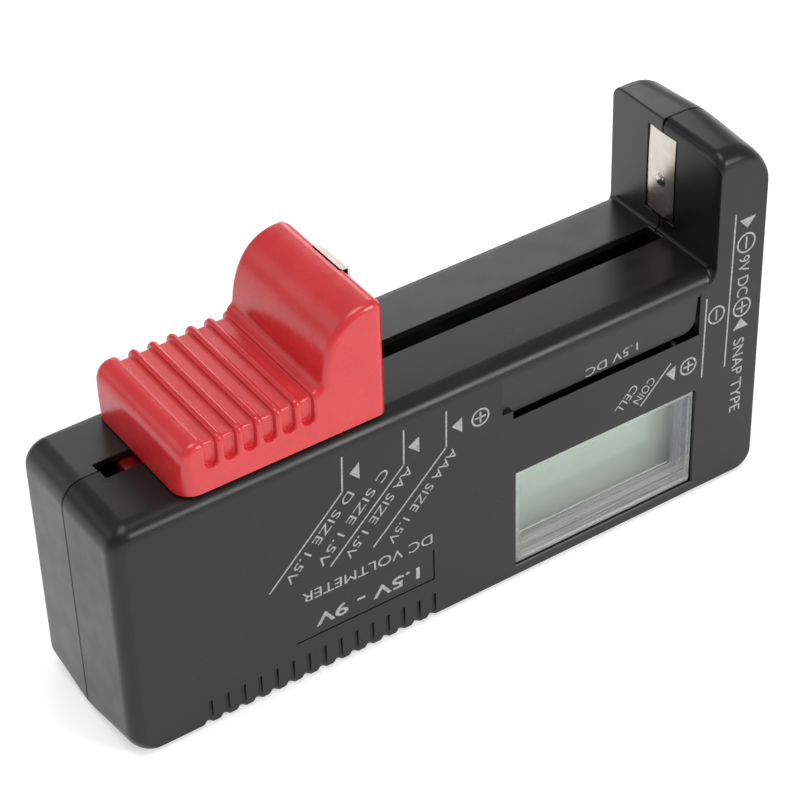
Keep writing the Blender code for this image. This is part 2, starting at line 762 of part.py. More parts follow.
def catmull_rom(p, q, r, s, t):
    """The coordinate a fraction t of the way from q to r, with p before them and s after."""
    linear = (r - p) * t
    square = (2 * p - 5 * q + 4 * r - s) * t**2
    cube = (3 * q - p - 3 * r + s) * t**3
    return 0.5 * (2 * q + linear + square + cube)


def smooth_route(points, per_span=4):
    """A smooth line of points that passes through each of those given."""
    padded = [points[0], *points, points[-1]]
    route = []
    for span in zip(padded, padded[1:], padded[2:], padded[3:]):
        for i in range(per_span):
            route.append(tuple(catmull_rom(*ends, i / per_span) for ends in zip(*span)))
    return route + [points[-1]]


def wires():
    """Insulated wires from the board to each contact, whole along their routes inside the case."""
    pad = BOARD_REAR + GAP + 0.6
    routes = {
        "wire_post_contact": (
            "black",
            (
                (38.0, pad, 26.6),
                (38.5, 1.0, 28.5),
                (44.0, 4.5, 31.5),
                (48.6, 5.6, 36.5),
                (49.6, 5.0, 41.0),
                (49.8, 2.0, 42.4),
            ),
        ),
        "wire_nine_volt_negative": (
            "black",
            (
                (41.0, pad, 22.0),
                (42.0, 1.5, 22.5),
                (46.5, 3.8, 26.5),
                (50.6, 4.6, 33.0),
                (51.4, 4.0, 38.0),
                (51.4, 1.6, 39.3),
            ),
        ),
        "wire_nine_volt_positive": (
            "red",
            ((40.5, pad, 17.5), (42.5, -0.5, 17.8), (47.5, 1.5, 21.0), (50.5, 2.2, 25.0), (51.2, 1.5, 26.6)),
        ),
        "wire_contact_rail": (
            "red",
            ((10.5, pad, 18.5), (6.0, 0.5, 20.0), (3.5, 4.5, 25.0), (4.5, 6.8, 31.5), (5.0, 6.8, 34.5)),
        ),
        "wire_mini_cell_positive": (
            "red",
            (
                (28.0, pad, 27.0),
                (28.5, -2.0, 30.4),
                (29.0, -5.5, 31.6),
                (29.5, -8.0, 30.6),
                (30.0, -8.55, 29.2),
            ),
        ),
        "wire_mini_cell_negative": (
            "black",
            ((40.6, pad, 27.2), (44.2, -2.2, 30.6), (44.9, -4.6, 33.4), (43.5, -5.9, 34.2)),
        ),
    }
    finishes = {
        "black": material("wire_black", (0.03, 0.03, 0.03), 0.45),
        "red": material("wire_red", (0.6, 0.03, 0.03), 0.45),
    }
    made = []
    for name, (colour, route) in routes.items():
        line = bpy.data.curves.new(name, "CURVE")
        line.dimensions = "3D"
        line.bevel_depth = 0.45 * MM
        line.bevel_resolution = 2
        line.use_fill_caps = True
        points = smooth_route(route)
        spline = line.splines.new("POLY")
        spline.points.add(len(points) - 1)
        for slot, point in zip(spline.points, points):
            slot.co = (*(MM * value for value in point), 1.0)
        line.materials.append(finishes[colour])
        made.append(bpy.data.objects.new(name, line))
        bpy.context.scene.collection.objects.link(made[-1])
    return made


def hold(name, location, pieces):
    """Parents pieces to an empty, leaving them where they are."""
    empty = bpy.data.objects.new(name, None)
    empty.location = [MM * value for value in location]
    bpy.context.scene.collection.objects.link(empty)
    bpy.context.view_layer.update()
    for piece in pieces:
        piece.parent = empty
        piece.matrix_parent_inverse = empty.matrix_world.inverted()


def main():
    for old in list(bpy.data.objects):
        bpy.data.objects.remove(old, do_unlink=True)
    case = [front_shell(), rear_shell(), *screws(), post_contact(), *nine_volt_contacts(), *inner_contacts()]
    case += [*display_parts(), main_board(), *board_components(), *wires()]
    hold("case_origin", (0, 0, 0), case)
    clamp = [slider(), *slider_keeper(), *slider_contacts()]
    hold("slider_slide", ((SLIDER_LEFT + SLIDER_RIGHT) / 2, SEAM_Y, RAIL_TOP), clamp)


main()
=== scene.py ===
"""Looks of the battery tester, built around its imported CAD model.

Meshes are made in millimetres and scaled to metres by to_object. X runs along the tester towards
the fixed post, -Y is the face with the display, and Z is up.
"""

import math

import bmesh
import bpy
from mathutils import Matrix, Vector
from mathutils.geometry import interpolate_bezier


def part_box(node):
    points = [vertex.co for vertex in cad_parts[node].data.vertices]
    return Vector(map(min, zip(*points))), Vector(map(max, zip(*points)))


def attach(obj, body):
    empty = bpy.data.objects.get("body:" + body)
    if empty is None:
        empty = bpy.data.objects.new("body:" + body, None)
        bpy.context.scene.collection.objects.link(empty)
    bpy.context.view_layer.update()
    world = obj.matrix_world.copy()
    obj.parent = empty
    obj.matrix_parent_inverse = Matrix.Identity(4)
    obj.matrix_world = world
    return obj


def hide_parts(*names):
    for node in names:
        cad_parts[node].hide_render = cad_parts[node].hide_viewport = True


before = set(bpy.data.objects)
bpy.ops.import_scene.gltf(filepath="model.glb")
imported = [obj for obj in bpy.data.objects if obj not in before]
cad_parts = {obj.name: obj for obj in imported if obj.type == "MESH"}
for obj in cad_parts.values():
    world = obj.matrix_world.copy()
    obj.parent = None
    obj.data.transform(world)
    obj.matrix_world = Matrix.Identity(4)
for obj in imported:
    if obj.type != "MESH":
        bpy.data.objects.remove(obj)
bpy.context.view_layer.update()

MM = 0.001


def node_box(name):
    """A CAD node's lowest and highest corners in millimetres."""
    low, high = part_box(name)
    return Vector(low) / MM, Vector(high) / MM


# Case, as the CAD has it
case_low, case_high = node_box("front_shell")
LEFT, FRONT = case_low.x, case_low.y
RIGHT, TOP = case_high.x, case_high.z
REAR = node_box("rear_shell")[1].y
RAIL_TOP = 40.7
POST_LEFT = 45.4
WALL = 2.0
RAIL_WALL = 1.2
RAIL_UNDERSIDE = RAIL_TOP - RAIL_WALL
SEAM_Y = 0.85
SEAM_GAP = 0.2
SEAM_EASING = 0.12
CORNER_RADIUS = 3.6
LOWER_CORNERS = (4.3, 1.5)
POST_CORNERS = (7.0, 5.5)
POST_EDGE = {"front": 1.4, "rear": 0.3}
EASED = 0.15

# Rounding between each outer face and the sides: how deep it reaches, and how far in
SIDES = ("left", "right", "top", "bottom", "post")
EDGE_ROUNDS = {
    "front": dict(zip(SIDES, ((2.0, 2.3), (2.3, 0.85), (2.9, 2.3), (2.2, 0.82), (2.2, 0.26)))),
    "rear": dict(zip(SIDES, ((1.8, 1.8), (1.8, 0.8), (1.8, 1.8), (1.8, 0.75), (1.8, 0.04)))),
}
INSIDE_FRONT = FRONT + WALL
INSIDE_REAR = REAR - WALL
ARC_STEPS = 8
EDGE_STEPS = 12

# Slot and the bead at the post's foot
SLOT_LEFT = {"front": -48.9, "rear": -49.1}
SLOT_RIGHT = 44.7
SLOT_SIDES = (-1.0, 2.55)
KEEPER_HALF = 4.8
BEAD_RADIUS = 0.55

# Metal contacts
SHEET = 0.4
PLATE_SIDES = (-2.0, 4.05)
PLATE_BOTTOM = 43.3
PLATE_TOP = 57.5
PLATE_FACE = 45.5
DIMPLE_Z = 49.6
TAB_HALF = 1.5
CLEARANCE = 0.3

# Display window and button-cell well
WINDOW = (9.85, 42.75, 2.4, 20.1)
# Where the window's painted refraction streaks end, and half the width of its painted glint line
VEIL_TOP = 8.3
VEIL_LEFT = 38.4
PAINTED_GLINT_HALF = 0.22
REFLECTOR_FOOT = 3.1
REFLECTOR_RIGHT = 42.9
WELL_LEFT = 7.45
WELL_SLOT_LEFT = 9.3
WELL_TONGUE_RIGHT = 42.3
WELL_RIGHT = 42.8
WELL_TOP = 38.0
WELL_STEP = 32.0
WELL_TONGUE_BOTTOM = 31.9
WELL_BOTTOM = 30.5
WELL_DEPTH = 0.65
SIGHT_SLOPE = 0.94

# Grip notches along the front's lower edge
NOTCH_FIRST = -42.6
NOTCH_PITCH = 2.694
NOTCH_COUNT = 15
NOTCH_TOP = 4.8

# Screws in the rear: places in X and Z
CASE_SCREWS = ((-48.5, 7.0), (-48.5, 29.0), (49.0, 7.0), (50.2, 53.0))
BOSS_RADIUS = 2.6

# Clamp
CLAMP_LEFT = -43.5
CLAMP_RIGHT = -11.0
CLAMP_FRONT = -11.7
CLAMP_REAR = 12.3
CLAMP_TOP = 59.9
CLAMP_BOTTOM = 41.0
CLAMP_WALL = 2.0
STEP_TOP = 49.1
GROOVE_FIRST = -38.5
GROOVE_PITCH = 3.0
GROOVE_HALF = 0.93
GROOVE_COUNT = 6
GROOVE_DEPTH = 0.9
TOP_DEPTH_SHARE = 0.76
GROOVE_END_Z = 44.6
SIDE_ROUND = {"front": 1.25, "rear": 1.0}
STEP_ROUND = {"front": 1.25, "rear": 1.6}
BLOCK_LEFT = -21.0
BLOCK_SLOPE_FOOT = 53.5
STEP_CEILING = 46.1
STRIP_TAB_Z = 43.0
KEEL_TOP = 47.0
KEEL_LEFT, KEEL_RIGHT, KEEL_HALF = -42.4, -15.0, 1.4

# Camera, fitted to the object's outline: angles in degrees, lengths in millimetres
CAMERA_AZIMUTH = -32.837
CAMERA_ELEVATION = 38.622
CAMERA_ROLL = -1.884
CAMERA_DISTANCE = 389.054
CAMERA_SHIFT = (-1.304, 0.21)
CAMERA_LENS = 122.56

FLOOR_GLOW = 0.5
WORLD_STRENGTH = 0.4


# ---- mesh tools


def add_object(name, data):
    made = bpy.data.objects.new(name, data)
    bpy.context.scene.collection.objects.link(made)
    return made


def to_object(name, builder, smooth_angle=35.0):
    """Turns a bmesh in millimetres into an object in metres with outward faces."""
    bmesh.ops.recalc_face_normals(builder, faces=builder.faces)
    bmesh.ops.scale(builder, vec=(MM, MM, MM), verts=builder.verts)
    mesh = bpy.data.meshes.new(name)
    builder.to_mesh(mesh)
    builder.free()
    mesh.shade_smooth()
    mesh.set_sharp_from_angle(angle=math.radians(smooth_angle))
    return add_object(name, mesh)


def add_rings(builder, rings, caps=(0, -1)):
    """Joins rings of points with equal counts. The rings in caps are filled in, and without caps the
    last ring meets the first."""
    layers = [[builder.verts.new(point) for point in ring] for ring in rings]
    for near, far in zip(layers, layers[1:] if caps else layers[1:] + layers[:1]):
        for i in range(len(near)):
            j = (i + 1) % len(near)
            builder.faces.new((near[i], near[j], far[j], far[i]))
    for cap in caps:
        builder.faces.new(layers[cap])


def add_strip(builder, first, second):
    """Faces between two rows of vertices."""
    for i in range(len(first) - 1):
        builder.faces.new((first[i], first[i + 1], second[i + 1], second[i]))


def rectangle(a0, a1, b0, b1):
    return (a0, b0), (a1, b0), (a1, b1), (a0, b1)


def add_box(builder, low, high):
    (x0, y0, z0), (x1, y1, z1) = low, high
    add_rings(builder, [[(x, y, z) for x, y in rectangle(x0, x1, y0, y1)] for z in (z0, z1)])


def place(axis, along, first, second):
    """A point from its distance along an axis and its other two coordinates, in X, Y, Z order."""
    point = [first, second]
    point.insert("xyz".index(axis), along)
    return tuple(point)


def add_prism(builder, outline, axis, start, end):
    add_rings(builder, [[place(axis, along, *p) for p in outline] for along in (start, end)])


def turns(first, last, steps):
    """Angles in radians from first to last, which are in degrees."""
    return [math.radians(first + (last - first) * i / steps) for i in range(steps + 1)]


def arc(centre, radius, first, last, steps=ARC_STEPS):
    """Points on an arc in a plane, from one angle to another in degrees."""
    x, z = centre
    return [(x + radius * math.cos(t), z + radius * math.sin(t)) for t in turns(first, last, steps)]


def circle(centre, radius, steps):
    return arc(centre, radius, 0, 360, steps)[:-1]


def add_turned(builder, centre, axis, profile, steps=48):
    """A round body on a line along axis: profile lists (distance along axis, radius)."""
    rings = [[place(axis, along, *p) for p in circle(centre, r, steps)] for along, r in profile]
    add_rings(builder, rings)


def add_eased_hole(builder, axis, rect, inner, surface, eased=EASED):
    """A box cutter through a surface that also takes a small bevel off the hole's rim.

    rect is (low, high) of the other two axes, and inner is where the cutter ends."""
    outward = math.copysign(1.0, surface - inner)
    (a0, a1), (b0, b1) = rect
    rings = []
    for along, grow in (
        (inner, 0.0), (surface - outward * eased, 0.0), (surface, eased), (surface + outward, eased),
    ):
        corners = rectangle(a0 - grow, a1 + grow, b0 - grow, b1 + grow)
        rings.append([place(axis, along, *c) for c in corners])
    add_rings(builder, rings)


def single(name, add, *arguments):
    """An object made by one of the add functions."""
    builder = bmesh.new()
    add(builder, *arguments)
    return to_object(name, builder)


def boxes(name, *corners):
    builder = bmesh.new()
    for low, high in corners:
        add_box(builder, low, high)
    return to_object(name, builder)


def apply_modifiers(piece):
    """Replaces a piece's mesh with the one its modifiers make."""
    graph = bpy.context.evaluated_depsgraph_get()
    graph.update()
    mesh = bpy.data.meshes.new_from_object(piece.evaluated_get(graph))
    piece.modifiers.clear()
    piece.data = mesh
    return piece


def combine(target, helpers, operation):
    """Joins or cuts target with helpers, which are then removed."""
    for helper in helpers:
        change = target.modifiers.new(helper.name, "BOOLEAN")
        change.operation = operation
        change.solver = "EXACT"
        change.object = helper
        apply_modifiers(target)
        bpy.data.objects.remove(helper)
    return target


def cut(target, *helpers):
    return combine(target, helpers, "DIFFERENCE")


def join(target, *helpers):
    return combine(target, helpers, "UNION")


def finish_mesh(piece, smooth_angle=32.0):
    """Cleans a finished piece and shades it so that its flat faces stay flat next to round edges."""
    builder = bmesh.new()
    builder.from_mesh(piece.data)
    bmesh.ops.remove_doubles(builder, verts=builder.verts, dist=2e-6)
    bmesh.ops.dissolve_degenerate(builder, edges=builder.edges, dist=1e-6)
    builder.to_mesh(piece.data)
    builder.free()
    piece.data.shade_smooth()
    piece.data.set_sharp_from_angle(angle=math.radians(smooth_angle))
    piece.modifiers.new("flat_faces_stay_flat", "WEIGHTED_NORMAL").keep_sharp = True
    return piece


# ---- case


def shell_outline(half_name, insets, lower_corner=CORNER_RADIUS, upper_corner=POST_CORNERS[0]):
    """The L-shaped outline of a case half in X and Z, with each side moved inwards by its own inset."""
    left, right = LEFT + insets["left"], RIGHT - insets["right"]
    bottom, rail, top = insets["bottom"], RAIL_TOP - insets["top"], TOP - insets["top"]
    post = POST_LEFT + insets["post"]
    widest = max(insets["left"], insets["top"])
    corner = max(CORNER_RADIUS - widest, 0.2)
    lower = max(lower_corner - insets["left"], 0.2)
    right_lower = max(CORNER_RADIUS - insets["right"], 0.2)
    post_corner = max(upper_corner - widest, 0.2)
    post_edge = max(POST_EDGE[half_name] - insets["post"], 0.2)
    foot = 0.25 + insets["top"]
    return (
        arc((left + lower, bottom + lower), lower, 180, 270)
        + arc((right - right_lower, bottom + right_lower), right_lower, 270, 360)
        + arc((right - post_corner, top - post_corner), post_corner, 0, 90)
        + arc((post + post_edge, top - post_edge), post_edge, 90, 180)
        + arc((post - foot, rail + foot), foot, 360, 270)
        + arc((left + corner, rail - corner), corner, 90, 180)
    )


def even_insets(inset):
    return dict.fromkeys(SIDES, inset)


def edge_inset(rounding, reach):
    """How far a rounded side has moved in at a distance from the outer face."""
    depth, inset = rounding
    left_over = max(1 - reach / depth, 0.0)
    return inset * (1 - math.sqrt(1 - left_over**2))


def shell_half(name, half_name, outside, seam):
    """Half of the case: a rounded outer edge at outside, and a small easing where it meets its twin.

    The lower left and upper right corners are rounder at the outer face than at the seam."""
    inwards = 1 if seam > outside else -1
    rounds = EDGE_ROUNDS[half_name]
    depth = max(depth for depth, inset in rounds.values())
    span = abs(seam - outside)
    stations = []
    for turn in turns(0, 90, EDGE_STEPS):
        reach = depth * (1 - math.cos(turn))
        stations.append((reach, {side: edge_inset(rounding, reach) for side, rounding in rounds.items()}))
    for i in range(1, 5):
        stations.append((depth + (span - SEAM_EASING - depth) * i / 5, even_insets(0.0)))
    stations += [(span - SEAM_EASING, even_insets(0.0)), (span, even_insets(SEAM_EASING))]
    rings = []
    for reach, insets in stations:
        share = min(reach / (0.9 * span), 1.0) ** 1.3
        corners = (outer + (inner - outer) * share for outer, inner in (LOWER_CORNERS, POST_CORNERS))
        outline = shell_outline(half_name, insets, *corners)
        rings.append([(x, outside + inwards * reach, z) for x, z in outline])
    half = single(name, add_rings, rings)
    inside = shell_outline(half_name, even_insets(WALL))
    hollow = single(name + "_hollow", add_prism, inside, "y", outside + inwards * WALL, seam + inwards)
    return cut(half, hollow)


def tab_slit(left, right, bottom):
    """The corners of the slit that a metal tab passes through."""
    half = TAB_HALF + CLEARANCE
    low = (left, SEAM_Y - half, bottom - CLEARANCE)
    return low, (right, SEAM_Y + half, bottom + SHEET + CLEARANCE)


def seam_cutters(half_name):
    """What both halves make room for: the slot, the keeper's channel and the metal contacts."""
    rect = ((SLOT_LEFT[half_name], SLOT_RIGHT), SLOT_SIDES)
    slot = single("slot_cut", add_eased_hole, "z", rect, RAIL_UNDERSIDE - 1, RAIL_TOP)
    channel_low = (LEFT + WALL, SEAM_Y - KEEPER_HALF, RAIL_TOP - WALL - 1)
    channel_high = (SLOT_RIGHT, SEAM_Y + KEEPER_HALF, RAIL_UNDERSIDE)
    channel = boxes("keeper_channel", (channel_low, channel_high))
    rect = ((PLATE_SIDES[0] - 0.5, PLATE_SIDES[1] + 0.1), (PLATE_BOTTOM - 0.15, PLATE_TOP + 0.15))
    bed_floor = PLATE_FACE + SHEET + CLEARANCE
    bed = single("plate_bed_cut", add_eased_hole, "x", rect, bed_floor, POST_LEFT, 0.08)
    slits = [tab_slit(POST_LEFT, POST_LEFT + WALL + 1, PLATE_BOTTOM)]
    snap_beds = bmesh.new()
    for pole in ("negative", "positive"):
        low, high = node_box(f"nine_volt_contact_{pole}")
        rect = ((low.y - CLEARANCE, high.y + CLEARANCE), (low.z - CLEARANCE, high.z + CLEARANCE))
        add_eased_hole(snap_beds, "x", rect, high.x - SHEET - CLEARANCE, RIGHT)
        slits.append(tab_slit(RIGHT - WALL - 1, RIGHT - 0.3, low.z))
    return slot, channel, bed, to_object("snap_bed_cuts", snap_beds), boxes("tab_slits", *slits)


def tongue_depth(z):
    """How far the well's sloping tongue lies behind the front face."""
    return 0.03 + WELL_DEPTH * (WELL_TOP - z) / (WELL_TOP - WELL_BOTTOM)


def well_cutters():
    """The button-cell well: a sloping tongue with a dark gap under it and beside it."""
    mouth = [(WELL_LEFT, WELL_TOP), (WELL_LEFT, WELL_STEP), (WELL_SLOT_LEFT, WELL_STEP)]
    mouth += [(WELL_SLOT_LEFT, WELL_BOTTOM), (WELL_RIGHT, WELL_BOTTOM), (WELL_RIGHT, WELL_TOP)]
    slope = [[(x, FRONT - 1, z) for x, z in mouth], [(x, FRONT + tongue_depth(z), z) for x, z in mouth]]
    corner, gap_top = 2.0, WELL_TOP - 0.4
    gap = [(WELL_SLOT_LEFT, WELL_BOTTOM), (WELL_RIGHT, WELL_BOTTOM), (WELL_RIGHT, gap_top)]
    gap += [(WELL_TONGUE_RIGHT, gap_top)]
    gap += arc((WELL_TONGUE_RIGHT - corner, WELL_TONGUE_BOTTOM + corner), corner, 0, -90)
    gap += [(WELL_SLOT_LEFT, WELL_TONGUE_BOTTOM)]
    depths = [[(x, FRONT + y, z - SIGHT_SLOPE * y) for x, z in gap] for y in (-1.0, 3.5)]
    return single("well_slope", add_rings, slope), single("well_gap", add_rings, depths)


def notch_cutters():
    """Fifteen finger notches: narrow at the top, flaring to the left into scallops in the lower edge."""
    builder = bmesh.new()
    stations = (
        (NOTCH_TOP, 0.7, 0.45), (3.0, 0.75, 0.5), (1.7, 0.9, 0.52), (1.0, 1.4, 0.54), (0.6, 1.75, 0.66),
        (0.25, 1.95, 0.98), (-0.05, 2.0, 1.4), (-0.6, 2.0, 2.2),
    )
    for i in range(NOTCH_COUNT):
        right = NOTCH_FIRST + i * NOTCH_PITCH + 0.36
        rings = []
        for z, width, depth in stations:
            middle = right - width / 2
            ring = [(right, FRONT - 1, z)]
            for turn in turns(0, 180, 12):
                x = middle + width / 2 * math.cos(turn)
                ring.append((x, FRONT + depth * math.sin(turn) ** 0.5, z))
            rings.append(ring + [(right - width, FRONT - 1, z)])
        add_rings(builder, rings)
    return to_object("notch_cuts", builder)


def engraved_line():
    """The thin line engraved round two sides of the title, as a cutter."""
    wide, deep = 0.28, 0.22
    right, top, bottom, left = -4.75, 13.2, 7.6, -28.3
    low_y, high_y = FRONT - 1, FRONT + deep
    return boxes(
        "engraved_line",
        ((right - wide / 2, low_y, bottom - wide / 2), (right + wide / 2, high_y, top)),
        ((left, low_y, bottom - wide / 2), (right - wide / 2 - 0.001, high_y, bottom + wide / 2)),
    )


def post_bead(y0, y1):
    """The low bead across the foot of the post."""
    centre = (POST_LEFT - 0.1, RAIL_TOP + 0.02)
    outline = arc(centre, BEAD_RADIUS, 90, 180) + [(centre[0] - BEAD_RADIUS, RAIL_TOP - 0.5)]
    outline += [(POST_LEFT + 0.4, RAIL_TOP - 0.5), (POST_LEFT + 0.4, centre[1] + BEAD_RADIUS)]
    return single("post_bead", add_prism, outline, "y", y0, y1)


def at_screws(name, profile, steps=24):
    """The same round body at each case screw."""
    builder = bmesh.new()
    for centre in CASE_SCREWS:
        add_turned(builder, centre, "y", profile, steps)
    return to_object(name, builder)


def front_case():
    seam = SEAM_Y - SEAM_GAP / 2
    shell = shell_half("case_front", "front", FRONT, seam)
    backing = (
        (WELL_LEFT - 1.5, INSIDE_FRONT - 0.5, WELL_BOTTOM + 0.8),
        (WELL_RIGHT + 1.2, FRONT + 2.8, RAIL_TOP - WALL + 0.5),
    )
    join(shell, boxes("well_backing", backing), post_bead(FRONT + 1.6, seam))
    join(shell, at_screws("front_bosses", [(INSIDE_FRONT - 0.5, BOSS_RADIUS), (seam, BOSS_RADIUS)]))
    cut(shell, at_screws("front_pilot_holes", [(-4.0, 1.5), (SEAM_Y + 1, 1.5)]))
    opening = (WINDOW[:2], WINDOW[2:])
    cut(shell, single("window_cut", add_eased_hole, "y", opening, INSIDE_FRONT + 1, FRONT))
    cut(shell, *seam_cutters("front"), *well_cutters(), notch_cutters(), engraved_line())
    return finish_mesh(shell)


def rear_case():
    seam = SEAM_Y + SEAM_GAP / 2
    shell = shell_half("case_rear", "rear", REAR, seam)
    join(shell, post_bead(seam, REAR - 1.6))
    join(shell, at_screws("rear_bosses", [(seam, BOSS_RADIUS), (INSIDE_REAR + 0.5, BOSS_RADIUS)]))
    profile = [(seam - 1, 1.5), (REAR - 1.9, 1.5), (REAR - 0.35, 2.8), (REAR - 0.1, 2.82)]
    profile += [(REAR, 2.95), (REAR + 1, 2.95)]
    cut(shell, at_screws("rear_screw_holes", profile, 48), *seam_cutters("rear"))
    return finish_mesh(shell)


# ---- clamp


def clamp_profile(side):
    """The clamp's side view as (x, z, side rounding, inward direction), bottom right corner first.

    The side rounding is how much the edge between the profile and that side is rounded."""
    points = [(CLAMP_RIGHT, CLAMP_BOTTOM), (CLAMP_RIGHT, 50.0)]
    top_corner = 1.7
    points += arc((CLAMP_RIGHT - top_corner, CLAMP_TOP - top_corner), top_corner, 0, 90, 6)
    crown = [(CLAMP_RIGHT - top_corner - 0.2, CLAMP_TOP), (-17.8, CLAMP_TOP)]
    crown += [(-20.4, 56.2), (BLOCK_LEFT, 50.6)]
    points += [tuple(point) for point in interpolate_bezier(*(Vector(c) for c in crown), 17)]
    foot = 1.5
    points += arc((BLOCK_LEFT - foot, STEP_TOP + foot), foot, 0, -90, 6)[1:]
    shoulder = 2.7
    points += arc((CLAMP_LEFT + 0.3 + shoulder, STEP_TOP + 0.1 - shoulder), shoulder, 90, 180, 8)
    points += [(CLAMP_LEFT + 0.15, 44.5), (CLAMP_LEFT, CLAMP_BOTTOM)]
    rows = []
    last = len(points) - 1
    for i, (x, z) in enumerate(points):
        if i in (0, last):
            inward = Vector((1.0 if i else -1.0, 0.0))
        else:
            before, here, after = (Vector(point) for point in points[i - 1:i + 2])
            along = (here - before).normalized() + (after - here).normalized()
            inward = Vector((-along.y, along.x)) * (2 / along.length_squared)
        rows.append((x, z, clamp_side_rounding(side, x, z), inward))
    return rows


def clamp_side_rounding(side, x, z):
    """Rounding of the edge towards a side of the clamp: wide at the low left end, less elsewhere."""
    usual = STEP_ROUND[side] if x < BLOCK_LEFT - 1 else SIDE_ROUND[side]
    if x < CLAMP_LEFT + 3.2:
        widest = 3.0
        share = min(max((z - CLAMP_BOTTOM) / (STEP_TOP - CLAMP_BOTTOM), 0.0), 1.0)
        return widest + (usual - widest) * share**0.8
    return 1.5 if x > CLAMP_RIGHT - 1.0 else usual


def clamp_rings():
    rings = []
    for side, face, inwards in (("front", CLAMP_FRONT, 1), ("rear", CLAMP_REAR, -1)):
        rows = clamp_profile(side)
        for angle in turns(0, 90, ARC_STEPS)[::inwards]:
            ring = []
            for x, z, rounding, inward in rows:
                inset = rounding * (1 - math.sin(angle))
                y = face + inwards * rounding * (1 - math.cos(angle))
                ring.append((x + inward.x * inset, y, z + inward.y * inset))
            rings.append(ring)
    return rings


def groove_path():
    """Frames along a groove, over the clamp from one side to the other.

    Each is (y, z, outward y, outward z, width share, depth share): the ends are round, and the
    groove is shallower on top than down the sides."""
    frames = []
    for side, face, outwards in (("front", CLAMP_FRONT, -1), ("rear", CLAMP_REAR, 1)):
        radius = STEP_ROUND[side]
        half = []
        for turn in turns(86, 0, 5):
            z = GROOVE_END_Z + GROOVE_HALF * (1 - math.sin(turn))
            half.append((face, z, float(outwards), 0.0, math.cos(turn), 1.0))
        centre_y, centre_z = face - outwards * radius, STEP_TOP - radius
        for i, turn in enumerate(turns(0, 90, 8)):
            out_y, out_z = outwards * math.cos(turn), math.sin(turn)
            depth_share = 1.0 + (TOP_DEPTH_SHARE - 1.0) * i / 8
            y, z = centre_y + radius * out_y, centre_z + radius * out_z
            half.append((y, z, out_y, out_z, 1.0, depth_share))
        frames += half if side == "front" else half[::-1]
    return frames


def groove_section():
    """Half of a groove's section as (distance from its middle, depth): a rounded lip and a rounded root."""
    lip, root = 0.5, 0.28
    points = [(GROOVE_HALF + lip, -0.8)]
    points += [(GROOVE_HALF + lip - u, d) for u, d in arc((0.0, lip), lip, -90, 0, 6)]
    return points + arc((GROOVE_HALF - root, GROOVE_DEPTH - root), root, 0, 90, 4)


def groove_cutters():
    half = groove_section()
    section = half + [(-u, d) for u, d in half[::-1]]
    builder = bmesh.new()
    for i in range(GROOVE_COUNT):
        middle = GROOVE_FIRST + i * GROOVE_PITCH
        rings = []
        for y, z, out_y, out_z, width_share, depth_share in groove_path():
            ring = []
            for u, d in section:
                deep = d * depth_share if d > 0 else d
                ring.append((middle + u * width_share, y - out_y * deep, z - out_z * deep))
            rings.append(ring)
        add_rings(builder, rings)
    return to_object("groove_cuts", builder)


def clamp():
    body = single("clamp_body", add_rings, clamp_rings())
    cut(body, groove_cutters())
    bottom, roof = RAIL_TOP - 1, CLAMP_TOP - CLAMP_WALL - 0.6
    left, block, right = CLAMP_LEFT + CLAMP_WALL + 0.3, BLOCK_LEFT + CLAMP_WALL, CLAMP_RIGHT - CLAMP_WALL
    hollow = [
        (right, bottom), (right, roof), (block + 3.2, roof), (block + 0.6, BLOCK_SLOPE_FOOT),
        (block + 0.2, STEP_CEILING), (left, STEP_CEILING), (left, bottom),
    ]
    hollow_sides = (CLAMP_FRONT + CLAMP_WALL, CLAMP_REAR - CLAMP_WALL)
    cut(body, single("clamp_hollow", add_prism, hollow, "y", *hollow_sides))
    keel_low = (KEEL_LEFT, SEAM_Y - KEEL_HALF, RAIL_UNDERSIDE)
    join(body, boxes("clamp_keel", (keel_low, (KEEL_RIGHT, SEAM_Y + KEEL_HALF, KEEL_TOP))))
    strip_low, strip_high = node_box("slider_contact")
    strip_sides = (strip_low.y - CLEARANCE, strip_high.y + CLEARANCE)
    rect = ((CLAMP_RIGHT - 1.2, CLAMP_RIGHT + 1), strip_sides)
    bed = single("strip_bed", add_eased_hole, "z", rect, CLAMP_TOP - 0.85, CLAMP_TOP, 0.12)
    slit = tab_slit(CLAMP_RIGHT - CLAMP_WALL - 1, CLAMP_RIGHT + 1, STRIP_TAB_Z)
    cut(body, bed, boxes("clamp_slit", slit))
    return finish_mesh(body)


# ---- small pieces


